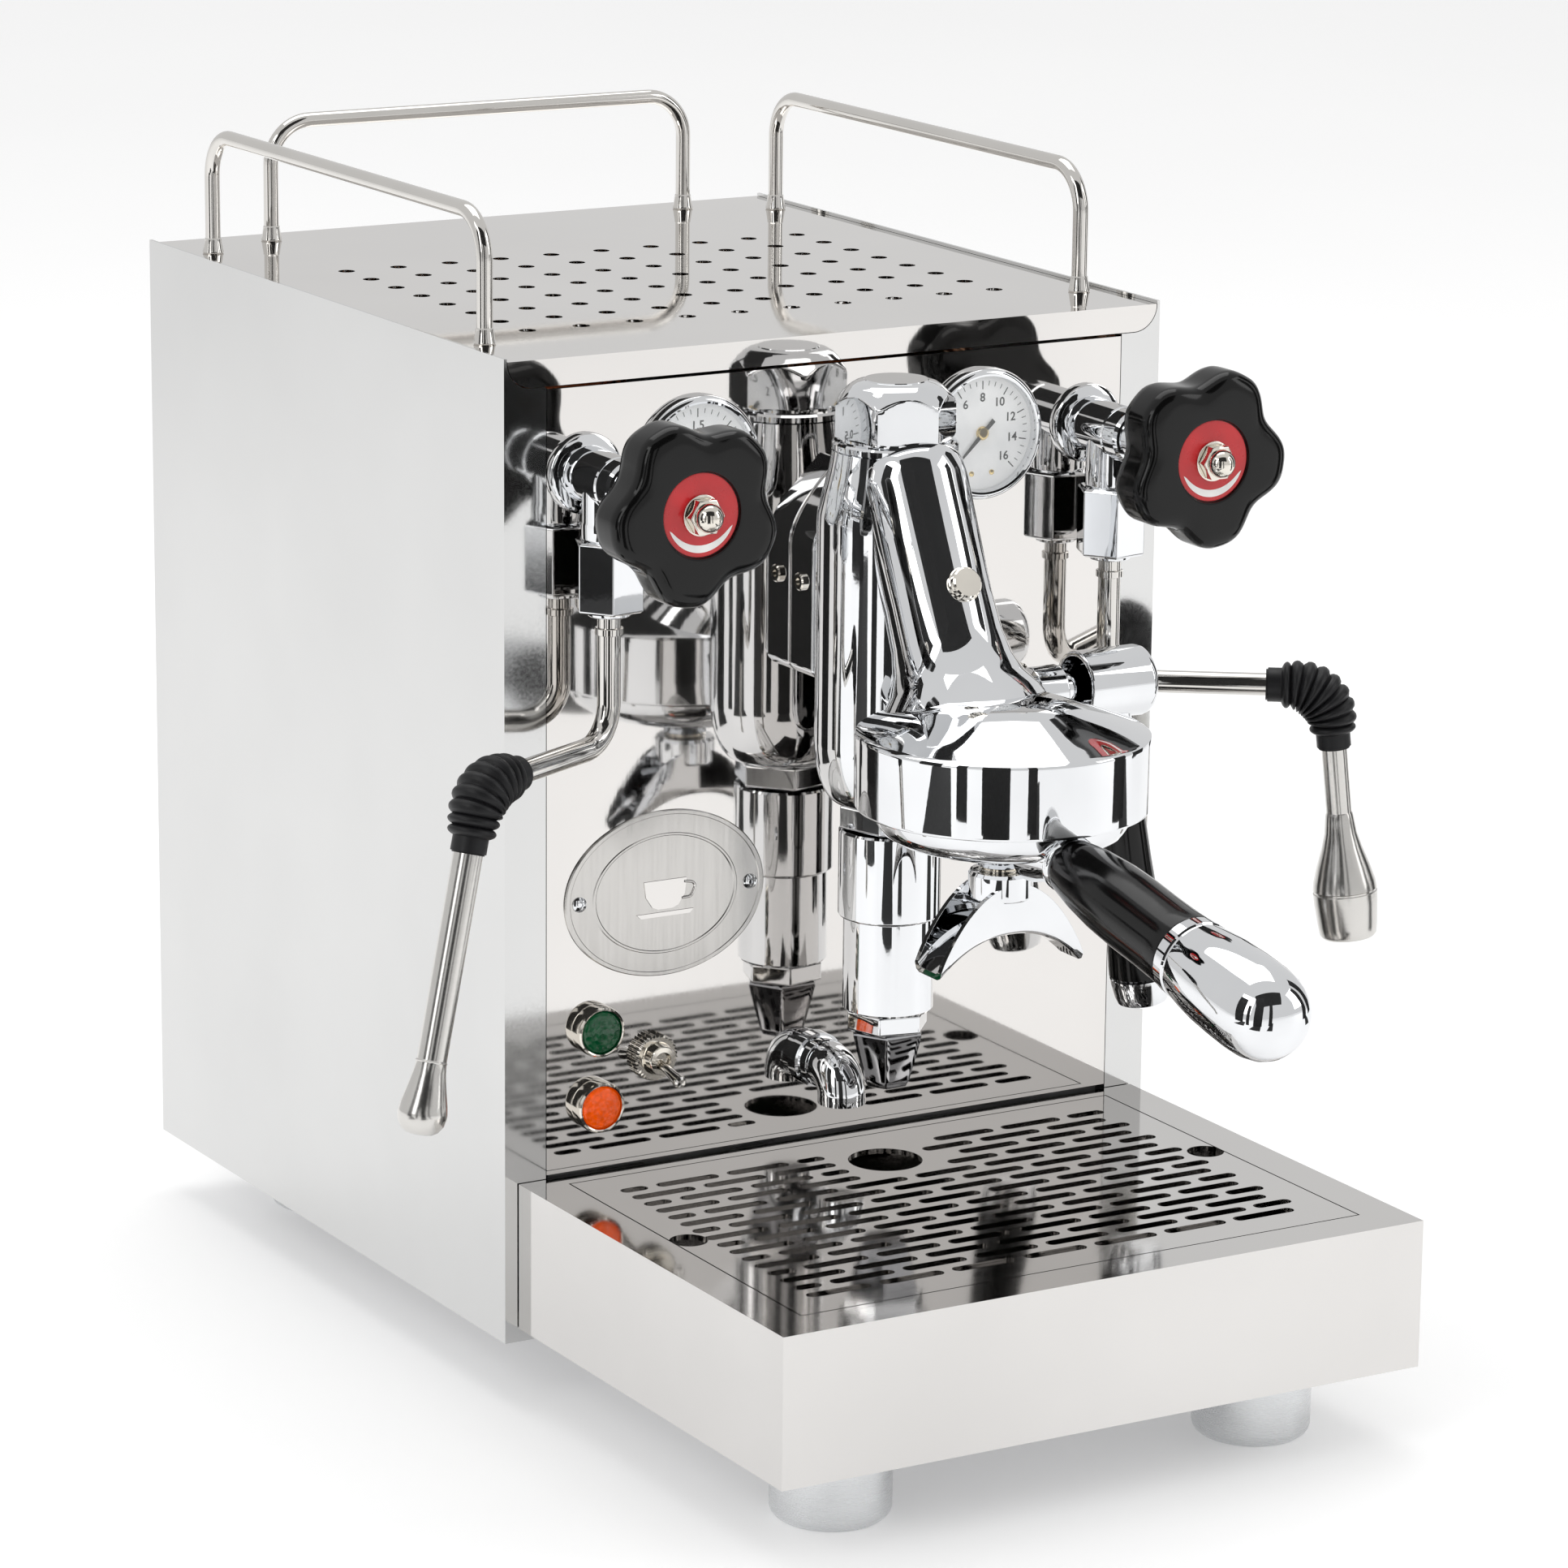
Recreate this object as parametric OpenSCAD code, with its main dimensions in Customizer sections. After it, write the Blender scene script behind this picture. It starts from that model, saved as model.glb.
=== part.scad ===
// Espresso machine with a lever group, heat-exchanger boiler, steam and hot-water wands,
// a pull-out drip tray and a lift-off cup tray.
// X points right, the front faces -Y, Z points up, and the feet stand on Z = 0.

/* [Body] */
// Width over the side panels
body_w = 280; // [260:1:340]
// Depth of the cabinet behind its front face
body_d = 304; // [285:1:370]
// Height of the side panels
body_h = 370; // [362:1:450]
// Thickness of the sheet steel
sheet = 1.2; // [0.8:0.1:1.5]
// Width of the folded front edge of each side panel
flange_w = 17; // [14:0.5:20]
// Depth of the return fold behind that edge
return_d = 7; // [4:0.5:9]
// Height of the side panels above the table
foot_gap = 24.5; // [18:0.5:35]
// Diameter of a foot
foot_d = 44; // [30:1:50]
// Height of the base plate above the lower edge of the side panels
base_lift = 6.4; // [5.5:0.1:7]
// Thickness of the base plate
base_t = 2; // [1.5:0.1:2.5]
// Clearance between neighbouring sheets
sheet_gap = 0.3; // [0.2:0.05:0.5]

/* [Cup tray] */
// How far the cup tray lies below the side panel edges
cover_drop = 1.2; // [0.8:0.1:3]
// Height of the front band of the cup tray
band_h = 10; // [8:0.5:14]
// Diameter of the rail tube
rail_d = 6; // [5:0.5:8]
// Height of the rail axis above the side panel edges
rail_h = 46; // [35:1:60]
// Radius of the rail bends
rail_bend = 17; // [10:1:25]
// Distance of a side rail from the side panel
rail_inset = 12; // [9:0.5:20]
// Distance of the front rail posts from the front
rail_front = 38; // [25:1:60]
// Diameter of a vent hole
vent_d = 6.5; // [4:0.5:8]
// Number of vent holes across
vent_columns = 10; // [4:1:11]
// Number of vent holes from front to back
vent_rows = 8; // [3:1:9]

/* [Drip tray] */
// Depth of the drip tray in front of the cabinet
tray_d = 195; // [180:1:240]
// Height of the drip tray's sides
tray_h = 56; // [46:1:58]
// Height of the tray's lower edge above that of the side panels
tray_lift = 5.4; // [3:0.1:6]
// Distance of the tray's side from the cabinet's side
tray_inset = 5.4; // [3:0.1:10]
// Width of the flat rim round the grate
rim_w = 16.5; // [12:0.5:22]
// Length of a grate slot
slot_l = 26; // [15:1:40]
// Width of a grate slot
slot_w = 5; // [3:0.5:6]
// Bridge between the ends of two slots
slot_bridge = 4; // [3:0.5:8]
// Distance between slot rows
slot_pitch = 9; // [7.5:0.1:12]
// Diameter of the drain hole under the pre-infusion chamber
drain_d = 28; // [20:1:34]
// Diameter of a finger hole
finger_d = 14; // [12:0.5:16]

/* [Group] */
// Distance of the brewing axis from the front face
group_reach = 116; // [110:1:135]
// Distance of the valve chamber's axis from the front face
barrel_reach = 39; // [36:1:44]
// Diameter of the valve chamber
barrel_d = 57; // [48:1:60]
// Diameter of the bell
bell_d = 106.5; // [100:0.5:112]
// Height of the bell's cylindrical band
bell_h = 28; // [24:0.5:32]
// Depth of the group's joint below the side panel edge
group_drop = 38; // [34:1:44]
// Diameter of the bore in the bell that takes the filter holder
bell_bore = 74; // [70:0.5:78]

/* [Valves] */
// Distance of a valve axis from the side of the cabinet
valve_inset = 32.6; // [30:0.2:40]
// Depth of a valve axis below the side panel edge
valve_drop = 44; // [42:0.5:60]
// Distance of the wand joint from the front face
wand_reach = 19; // [17:0.5:25]
// Diameter of the wand joint's ball
ball_d = 15; // [12:0.5:15.5]
// Clearance round the ball and the spindles
fit_gap = 0.06; // [0.03:0.01:0.1]
// Diameter across a knob
knob_d = 68; // [55:1:72]
// Thickness of a knob
knob_t = 21; // [16:1:26]
// Diameter of a valve spindle
spindle_d = 8; // [6:0.5:9]

/* [Wands] */
// Diameter of the wand tube
wand_d = 8.6; // [7:0.2:9]
// Length of the steam wand's horizontal arm
steam_arm = 80; // [60:1:100]
// Direction of the steam wand's arm, forward from the side
steam_turn = 27; // [20:1:40]
// Outward lean of the steam wand's lower tube
steam_lean = 17.5; // [10:0.5:25]
// Length of the steam wand's lower tube
steam_drop = 98; // [80:1:110]
// Length of the water wand's horizontal arm
water_arm = 84; // [60:1:100]
// Direction of the water wand's arm, forward from the side
water_turn = 35; // [25:1:45]
// Lean of the water wand's lower tube
water_lean = 6; // [0:0.5:15]
// Length of the water wand's lower tube
water_drop = 50; // [40:1:80]

/* [Filter holder] */
// Diameter of the holder's lower bowl
bowl_d = 92; // [84:1:98]
// Inside diameter of the filter basket
basket_d = 58; // [50:0.5:60]
// Downward tilt of the handle
handle_tilt = 11; // [8:0.5:14]
// Length of the handle's black grip
grip_l = 76; // [60:1:95]
// Length of the handle's end cap
cap_l = 62; // [45:1:75]
// Distance of each spout tip from the brewing axis
spout_half = 30; // [24:0.5:36]
// Width of the spout from front to back
spout_w = 21; // [16:0.5:26]

/* [Lever] */
// Distance of the lever's shaft from the front face
lever_reach = 45; // [42:0.5:50]
// Diameter of the lever's shaft
shaft_d = 12; // [10:0.5:14]
// Length of the hanging lever below its shaft
lever_l = 128; // [110:1:140]
// Outward lean of the hanging lever
lever_lean = 8.5; // [4:0.5:10]

/* [Front panel] */
// Diameter of a pressure gauge
gauge_d = 50; // [44:0.5:54]
// Distance of each gauge from the middle
gauge_x = 61; // [58:0.5:64]
// Diameter of a signal lamp
lamp_d = 19.5; // [15:0.5:22]
// Width of the oval badge
badge_w = 84; // [60:1:90]

/* [Inside] */
// Outside diameter of the boiler
boiler_d = 104; // [90:1:110]
// Length of the boiler shell
boiler_l = 150; // [120:1:160]
// Wall of the boiler shell
boiler_wall = 2.5; // [2:0.1:4]
// Height of the water tank
tank_h = 215; // [150:1:240]
// Height of the tank's shelf above the base plate
shelf_h = 58; // [50:1:64]
// Wall of the water tank
tank_wall = 2.6; // [2:0.1:4]
// Diameter of the copper pipes
pipe_d = 8; // [6:0.5:10]

/* [Hidden] */
$fn = 48;

// Cabinet
half_w = body_w / 2;
inner_half = half_w - sheet - sheet_gap;
panel_half = half_w - flange_w - sheet_gap;
ledge_w = 9;
ledge_t = 1.5;
cover_top = body_h - cover_drop;
cover_under = cover_top - sheet;
band_bottom = cover_top - band_h;
panel_top = band_bottom - 1.2;
tray_top = tray_lift + tray_h;
panel_bottom = tray_top + 1.6;
base_top = base_lift + base_t;
upstand_y = 3;
tongue_half = panel_half - 2;
foot_x = half_w - 50;
foot_front = -tray_d + 42;
foot_back = body_d - 48;

// Group
group_top = body_h - group_drop;
bell_top = group_top - 89;
bell_bottom = bell_top - bell_h;
barrel_bottom = group_top - 132;
lever_z = group_top - 96;
hub_left = 76;
hub_right = 106;
arm_l = 50;

// Valves and wands
valve_x = half_w - valve_inset;
valve_z = body_h - valve_drop;
nut_top = valve_z - 21;
nut_bottom = nut_top - 26;
ball_z = nut_bottom + 10;
arm_z = nut_bottom - 49;
grip_r = wand_d / 2 + 4.6;
knob_back = -66;
knob_front = knob_back - knob_t;
valve_nose = knob_back + 4;

// Filter holder
brew_y = -group_reach;
handle_z = bell_bottom - 2;
grip_start = 47;
cap_start = grip_start + grip_l;
bowl_floor = bell_bottom - 15;
stub_bottom = bowl_floor - 11;
spout_top = stub_bottom + 4;
spout_bottom = bell_bottom - 59;

// Drip tray
tray_half = half_w - tray_inset;
tray_back = -0.6;
tray_front = -tray_d;
rim_back = 8;
grate_gap = 0.6;
grate_half = tray_half - rim_w - grate_gap;
grate_front = tray_front + rim_w + grate_gap;
grate_back = tray_back - rim_back - grate_gap;
grate_t = 2;
ledge_drop = 8;
basin_floor = base_top + 2;
drain_y = -barrel_reach;

// Cup tray rails
rail_x = half_w - rail_inset;
rail_rear = body_d - 34;
back_rail_y = body_d - 16;
back_rail_x = half_w - 46;
rail_z = body_h + rail_h;

// Inside
boiler_y = 48 + boiler_d / 2;
boiler_z = group_top - 62;
flange_t = 8;
tank_front = boiler_y + boiler_d / 2 + 34;
tank_back = body_d - 2 * sheet - 9;
tank_half = half_w - 24;
tank_bottom = base_top + shelf_h;
inlet_x = half_w - 48;
inlet_z = 38;

// The wands stand out further on one side than on the other; the origin is the middle of the
// whole outline, so everything is drawn about the cabinet's own centre and then shifted.
steam_x = valve_x + cos(steam_turn) * (steam_arm + sin(steam_lean) * (steam_drop + 22)) + 8;
water_x = valve_x + cos(water_turn) * (water_arm + sin(water_lean) * (water_drop + 30)) + 12;
handle_y = group_reach + cos(handle_tilt) * (cap_start + cap_l);
shift_x = (steam_x - water_x) / 2;
shift_y = (handle_y - body_d) / 2;
steam_side = -1;
water_side = 1;

module stand() {
    translate([shift_x, shift_y, foot_gap]) children();
}

// A straight rod between two points
module rod(a, b, r) {
    v = b - a;
    flat = norm([v[0], v[1]]);
    translate(a) rotate([0, atan2(flat, v[2]), atan2(v[1], v[0])]) cylinder(h = norm(v), r = r);
}

// Rods along a list of points, with a slightly fuller ball on each corner
module pipe(points, r) {
    for (i = [0 : len(points) - 2]) rod(points[i], points[i + 1], r);
    for (i = [1 : 1 : len(points) - 2]) translate(points[i]) sphere(r = r + 0.3);
}

// A tube bend in the XZ plane: centre, bend radius, tube radius, start angle and turn
module bend(centre, bend_r, r, from, turn) {
    translate([centre[0], 0, centre[1]])
        rotate([90, 0, 0]) rotate([0, 0, from])
            rotate_extrude(angle = turn) translate([bend_r, 0]) circle(r = r);
}

// Cylinder along -Y from one depth to another
module front_rod(x, z, back, front, r) {
    translate([x, back, z]) rotate([90, 0, 0]) cylinder(h = back - front, r = r);
}

module hexagon(across, h) {
    cylinder(h = h, d = across / cos(30), $fn = 6);
}

module rounded_slot(l, w) {
    square([l - w, w], center = true);
    for (s = [-1, 1]) translate([s * (l - w) / 2, 0]) circle(d = w, $fn = 16);
}

// ---- Cabinet ----

module base_frame() stand() color("silver") difference() {
    union() {
        translate([-inner_half, return_d + 1, base_lift])
            cube([2 * inner_half, body_d - 2 * sheet - return_d - 1 - sheet_gap, base_t]);
        // Tongue that carries the front feet under the drip tray
        translate([-tongue_half, tray_front + 12, base_lift])
            cube([2 * tongue_half, tray_d - 12 + return_d + 2, base_t]);
        // Upstand behind the gap below the splash panel
        translate([-tongue_half, upstand_y, base_lift])
            cube([2 * tongue_half, sheet, panel_bottom + 6 - base_lift]);
        // Shelf for the water tank
        translate([-tank_half, tank_front, tank_bottom - 2])
            cube([2 * tank_half, tank_back - tank_front, 2]);
        for (x = [-tank_half, 20, tank_half - 2]) translate([x, tank_front, base_top - 1])
            cube([2, tank_back - tank_front, shelf_h - 0.5]);
    }
    for (x = [-70 : 20 : 70]) translate([x, body_d * 0.45, base_lift - 1])
        cylinder(h = base_t + 2, d = 8);
}

module band_outline(grow) {
    difference() {
        translate([-half_w + sheet + 0.2 - grow, band_bottom - grow])
            square([body_w - 2 * sheet - 0.4 + 2 * grow, band_h + grow + 5]);
        for (s = [-1, 1]) scale([s, 1]) difference() {
            translate([half_w - sheet - 0.2 - band_h, band_bottom - grow - 1])
                square([band_h + grow + 1, band_h + grow + 1]);
            translate([half_w - sheet - 0.2 - band_h, band_bottom + band_h])
                circle(r = band_h + grow);
        }
    }
}

module side_panel() {
    flange_top = cover_under - sheet_gap;
    translate([-half_w, 0, 0]) cube([sheet, body_d, body_h]);
    difference() {
        linear_extrude(flange_top) {
            translate([-half_w, 0]) square([flange_w, sheet]);
            translate([-half_w + flange_w - sheet, 0]) square([sheet, return_d]);
            translate([-half_w, body_d - sheet]) square([12, sheet]);
        }
        translate([0, return_d + 1, 0]) rotate([90, 0, 0]) linear_extrude(return_d + 2)
            band_outline(sheet_gap);
    }
    translate([-half_w, return_d + 1, flange_top - ledge_t])
        cube([ledge_w, body_d - return_d - 12, ledge_t]);
}

module side_panel_left() stand() color("gainsboro") side_panel();
module side_panel_right() stand() color("gainsboro") mirror([1, 0, 0]) side_panel();

module back_panel() stand() color("silver") difference() {
    translate([-inner_half, body_d - 2 * sheet, base_lift])
        cube([2 * inner_half, sheet, cover_under - sheet_gap - base_lift]);
    for (i = [0 : 7]) for (s = [-1, 1])
        translate([s * 55, body_d, body_h * 0.55 + i * 12]) rotate([90, 0, 0])
            linear_extrude(10, center = true) rounded_slot(70, 4);
    translate([inlet_x, body_d, inlet_z]) cube([28, 10, 21], center = true);
}

module splash_panel() stand() color("whitesmoke") difference() {
    union() {
        translate([-panel_half, 0, panel_bottom]) cube([2 * panel_half, sheet, panel_top - panel_bottom]);
        for (s = [-1, 1]) translate([s * (panel_half - sheet / 2) - sheet / 2, 0, panel_bottom])
            cube([sheet, return_d - 1, panel_top - panel_bottom]);
    }
    for (s = [-1, 1]) {
        front_rod(s * gauge_x, valve_z, 5, -5, gauge_d / 2 - 1.7);
        front_rod(s * valve_x, valve_z, 9, -5, 10.3);
    }
    for (z = lamp_heights) front_rod(lamp_x, z, 5, -5, 6.3);
    front_rod(switch_x, switch_z, 5, -5, 6.3);
    front_rod(outlet_x, outlet_z, 5, -5, 6.3);
    front_rod(pin_x, pin_z, 5, -5, 4.3);
    for (z = syphon_heights) front_rod(0, z, 5, -5, pipe_d / 2 + 0.5);
}

module feet() stand() color("lightgray")
    for (x = [-foot_x, foot_x]) for (y = [foot_front, foot_back]) translate([x, y, -foot_gap]) {
        cylinder(h = 2, d1 = foot_d - 4, d2 = foot_d);
        translate([0, 0, 2]) cylinder(h = foot_gap + base_lift - 2, d = foot_d);
    }

// ---- Front panel fittings ----

lamp_x = -half_w + 37.5;
lamp_heights = [87.5, 116.5];
switch_x = -half_w + 61.5;
switch_z = 103;
outlet_x = -8;
outlet_z = 92;
outlet_l = 20;
outlet_r = 9;
badge_x = -73.5;
badge_z = 165;
pin_x = 60;
pin_z = lever_z + 6;
pin_tip = -34;
syphon_heights = [boiler_z - 9, boiler_z + 9];
case_r = gauge_d / 2 - 2;
dial_r = case_r - 1.2;
needle_zero = -135;

module badge_plate() stand() color("gainsboro")
    translate([badge_x, 0, badge_z]) rotate([90, 0, 0]) {
        scale([1, 0.75, 1]) cylinder(h = 1, d = badge_w);
        for (s = [-1, 1]) translate([s * (badge_w / 2 - 6), 0, 0]) cylinder(h = 2, d = 5);
    }

module gauge_cases() stand() color("silver") for (s = [-1, 1]) difference() {
    union() {
        front_rod(s * gauge_x, valve_z, 22, 0, case_r);
        front_rod(s * gauge_x, valve_z, 0, -4.5, gauge_d / 2);
    }
    front_rod(s * gauge_x, valve_z, 1, -6, dial_r + 0.1);
}

module gauge_dials() stand() color("white") for (s = [-1, 1])
    front_rod(s * gauge_x, valve_z, 1, 0.2, dial_r);

module gauge_glasses() stand() color("lightcyan", 0.4) for (s = [-1, 1])
    front_rod(s * gauge_x, valve_z, -2.6, -3.8, dial_r);

module needle(x) {
    translate([x, 0, valve_z]) rotate([0, needle_zero, 0]) {
        front_rod(0, 0, -0.1, -2.2, 2.5);
        translate([-0.6, -1.5, -6]) cube([1.2, 0.7, 20]);
    }
}

module needle_left() stand() color("black") needle(-gauge_x);
module needle_right() stand() color("black") needle(gauge_x);

module lamp(z) {
    front_rod(lamp_x, z, 16, 0, 6);
    front_rod(lamp_x, z, 0, -6, lamp_d / 2);
    translate([lamp_x, -6, z]) intersection() {
        translate([0, 9, 0]) sphere(r = 12);
        front_rod(0, 0, 0, -6, lamp_d / 2 - 1.2);
    }
}

module lamp_green() stand() color("darkgreen") lamp(lamp_heights[1]);
module lamp_orange() stand() color("darkorange") lamp(lamp_heights[0]);

module switch_body() stand() color("silver") difference() {
    union() {
        front_rod(switch_x, switch_z, 20, 0, 6);
        front_rod(switch_x, switch_z, 0, -4, 9);
        front_rod(switch_x, switch_z, -4, -9, 5.5);
    }
    front_rod(switch_x, switch_z, 12, -10, 4.2);
}

module switch_toggle() stand() color("silver") translate([switch_x, -1, switch_z]) {
    sphere(r = 3.6);
    translate([-3.9, 0, 0]) rotate([0, 90, 0]) cylinder(h = 7.8, r = 1.2);
    rotate([13, 0, 0]) {
        front_rod(0, 0, 0, -17, 1.7);
        front_rod(0, 0, -17, -22, 2.4);
    }
}

module drain_outlet() stand() color("silver") {
    front_rod(outlet_x, outlet_z, 14, 0, 6);
    front_rod(outlet_x, outlet_z, 0, -8, outlet_r + 1.5);
    front_rod(outlet_x, outlet_z, -8, -outlet_l, outlet_r);
    translate([outlet_x, -outlet_l, outlet_z]) sphere(r = outlet_r);
    translate([outlet_x, -outlet_l, outlet_z - outlet_r - 3]) cylinder(h = outlet_r + 3, r = outlet_r - 1);
}

module lever_stop_pin() stand() color("tan") {
    front_rod(pin_x, pin_z, 12, 0, 4);
    translate([pin_x, 0, pin_z]) rotate([90, 0, 0]) hexagon(10.5, 14);
    front_rod(pin_x, pin_z, -14, -22, 4.6);
    front_rod(pin_x, pin_z, -22, pin_tip, 2.4);
}

// ---- Brewing group ----

module group_body() stand() color("silver") difference() {
    union() {
        translate([0, -barrel_reach, barrel_bottom]) {
            cylinder(h = 8, d1 = barrel_d - 12, d2 = barrel_d);
            translate([0, 0, 8]) cylinder(h = 104, d = barrel_d);
            translate([0, 0, 112]) cylinder(h = 20, d1 = barrel_d, d2 = 46);
        }
        translate([-21, -barrel_reach, group_top - 89]) cube([42, barrel_reach, 78]);
        rod([0, -barrel_reach - 6, group_top - 12], [0, brew_y + 34, bell_top + 8], 19.5);
        translate([0, brew_y, bell_bottom]) {
            cylinder(h = bell_h, d = bell_d);
            translate([0, 0, bell_h]) cylinder(h = 7, d1 = bell_d - 3, d2 = bell_d - 40);
            translate([0, 0, bell_h + 7]) cylinder(h = 7, d1 = bell_d - 40, d2 = 40);
        }
        translate([0, -lever_reach, lever_z]) rotate([0, 90, 0]) cylinder(h = 40, d = 27);
        translate([40, -lever_reach, lever_z]) rotate([0, 90, 0]) hexagon(22, 9);
    }
    translate([0, brew_y, bell_bottom - 1]) cylinder(h = 21, d = bell_bore);
    translate([6, -lever_reach, lever_z]) rotate([0, 90, 0])
        cylinder(h = 70, d = shaft_d + 2 * fit_gap);
}

module group_cap_nut() stand() color("silver") translate([0, -barrel_reach, group_top]) {
    cylinder(h = 4, d = 46);
    intersection() {
        translate([0, 0, 4]) hexagon(39, 22);
        union() {
            cylinder(h = 15, d = 46);
            translate([0, 0, 15]) cylinder(h = 11, d1 = 46, d2 = 25);
        }
    }
}

module preinfusion_chamber() stand() color("silver")
    translate([0, -barrel_reach, barrel_bottom]) mirror([0, 0, 1]) {
        hexagon(34, 9);
        translate([0, 0, 9]) cylinder(h = 34, d = 38);
        translate([0, 0, 43]) cylinder(h = 36, d = 33.6);
        translate([0, 0, 79]) hexagon(27, 8);
        translate([0, 0, 87]) cylinder(h = 22.5, d1 = 28, d2 = 14);
    }

module shower_screen() stand() color("gray") translate([0, brew_y, bell_bottom + 17])
    cylinder(h = 3, d = 57);

// ---- Brewing lever ----

module brew_lever() stand() color("silver") {
    translate([0, -lever_reach, lever_z]) rotate([0, 90, 0]) {
        translate([0, 0, 8]) cylinder(h = hub_left - 4, d = shaft_d);
        translate([0, 0, hub_left]) cylinder(h = hub_right - hub_left, d = 27);
        translate([0, 0, hub_left - 20]) cylinder(h = 12, d = 19);
    }
    lever_axis(0) {
        translate([-5, -8, 0]) cube([10, 16, arm_l]);
        cylinder(h = lever_l - 10, d = 8);
        translate([0, 0, lever_l - 12]) cylinder(h = 12, d1 = 23, d2 = 19);
    }
}

module lever_axis(from) {
    translate([hub_left + 15, -lever_reach, lever_z])
        rotate([0, 180 - lever_lean, 0]) translate([0, 0, from]) children();
}

module lever_grip() stand() color("black") lever_axis(arm_l) difference() {
    cylinder(h = lever_l - 12 - arm_l, d1 = 16, d2 = 23);
    translate([0, 0, -1]) cylinder(h = lever_l, d = 8);
}

// ---- Valves, knobs and wands ----

module valve(side) translate([side * valve_x, 0, 0]) difference() {
    union() {
        front_rod(0, valve_z, 20, -36, 10);
        front_rod(0, valve_z, 0, -3, 15);
        front_rod(0, valve_z, -36, valve_nose, 8);
        translate([0, -wand_reach, nut_top]) cylinder(h = valve_z - nut_top, d = 20);
        translate([0, -wand_reach, nut_bottom]) hexagon(23.5, 26);
    }
    front_rod(0, valve_z, -30, valve_nose - 1, spindle_d / 2 + fit_gap);
    translate([0, -wand_reach, nut_bottom - 1]) cylinder(h = 24, d = ball_d + 2 * fit_gap);
}

module steam_valve() stand() color("silver") valve(steam_side);
module water_valve() stand() color("silver") valve(water_side);

module spindle(side) translate([side * valve_x, 0, 0]) {
    front_rod(0, valve_z, -31, knob_front - 1, spindle_d / 2);
    translate([0, knob_front + 4, valve_z]) rotate([90, 0, 0]) hexagon(13, 6);
    front_rod(0, valve_z, knob_front - 2, knob_front - 5, 5.4);
    translate([0, knob_front - 5, valve_z]) sphere(r = 5.4);
}

module steam_spindle() stand() color("tan") spindle(steam_side);
module water_spindle() stand() color("tan") spindle(water_side);

lobe_r = 9.5;

module knob(side, turn) translate([side * valve_x, knob_back, valve_z]) rotate([90, turn, 0])
    difference() {
        linear_extrude(knob_t) {
            circle(r = knob_d / 2 - 7.5);
            for (i = [0 : 4]) rotate(i * 72) translate([0, knob_d / 2 - lobe_r])
                circle(r = lobe_r);
        }
        translate([0, 0, -1]) cylinder(h = knob_t + 2, d = spindle_d + 2 * fit_gap);
        translate([0, 0, knob_t - 4]) cylinder(h = 5, r = 14.5);
    }

module steam_knob() stand() color([0.08, 0.08, 0.08]) knob(steam_side, 27.5);
module water_knob() stand() color([0.08, 0.08, 0.08]) knob(water_side, -25.7);

module seat(side) translate([side * valve_x, -wand_reach, ball_z + ball_d / 2 + 0.3])
    difference() {
        cylinder(h = 4, d = ball_d);
        translate([0, 0, -1]) cylinder(h = 6, d = 6);
    }

module steam_seat() stand() color("ivory") seat(steam_side);
module water_seat() stand() color("ivory") seat(water_side);

// Places children at a valve's wand joint, with +X along the wand's arm
module at_wand(side, turn) {
    translate([side * valve_x, -wand_reach, 0]) rotate([0, 0, side > 0 ? -turn : 180 + turn])
        children();
}

// A point of the lower tube, at a distance from the elbow
function lower(arm, lean, along) = [arm + along * sin(lean), 0, arm_z - along * cos(lean)];

module wand_tube(arm, lean, drop) {
    translate([0, 0, ball_z]) sphere(d = ball_d);
    pipe([[0, 0, ball_z], [0, 0, arm_z], [arm, 0, arm_z], lower(arm, lean, drop)], wand_d / 2);
}

// The rubber grip is moulded on over the elbow
module wand_grip(arm, lean, straight_in, straight_out) {
    pipe([[arm - straight_in, 0, arm_z], [arm, 0, arm_z], lower(arm, lean, straight_out)], grip_r);
}

module at_wand_end(arm, lean, drop) {
    translate([arm, 0, arm_z]) rotate([0, 180 - lean, 0]) translate([0, 0, drop]) children();
}

module steam_wand() stand() color("silver") at_wand(steam_side, steam_turn)
    wand_tube(steam_arm, steam_lean, steam_drop);
module steam_grip() stand() color([0.1, 0.1, 0.1]) at_wand(steam_side, steam_turn)
    wand_grip(steam_arm, steam_lean, 23, 23);
module steam_tip() stand() color("silver") at_wand(steam_side, steam_turn)
    at_wand_end(steam_arm, steam_lean, steam_drop) {
        cylinder(h = 18, d1 = wand_d, d2 = 17);
        translate([0, 0, 18]) cylinder(h = 4, d = 17);
        translate([0, 0, 22]) cylinder(h = 4, d1 = 17, d2 = 9);
    }

module water_wand() stand() color("silver") at_wand(water_side, water_turn)
    wand_tube(water_arm, water_lean, water_drop);
module water_grip() stand() color([0.1, 0.1, 0.1]) at_wand(water_side, water_turn)
    wand_grip(water_arm, water_lean, 27, 18);
module water_nozzle() stand() color("silver") at_wand(water_side, water_turn)
    at_wand_end(water_arm, water_lean, water_drop) {
        cylinder(h = 30, d1 = wand_d, d2 = 24);
        translate([0, 0, 30]) cylinder(h = 14, d1 = 24, d2 = 22.5);
        translate([0, 0, 44]) cylinder(h = 4, d1 = 22.5, d2 = 18);
    }

// ---- Filter holder ----

module along_handle() {
    translate([0, brew_y, handle_z]) rotate([handle_tilt, 0, 0]) rotate([90, 0, 0]) children();
}

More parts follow.
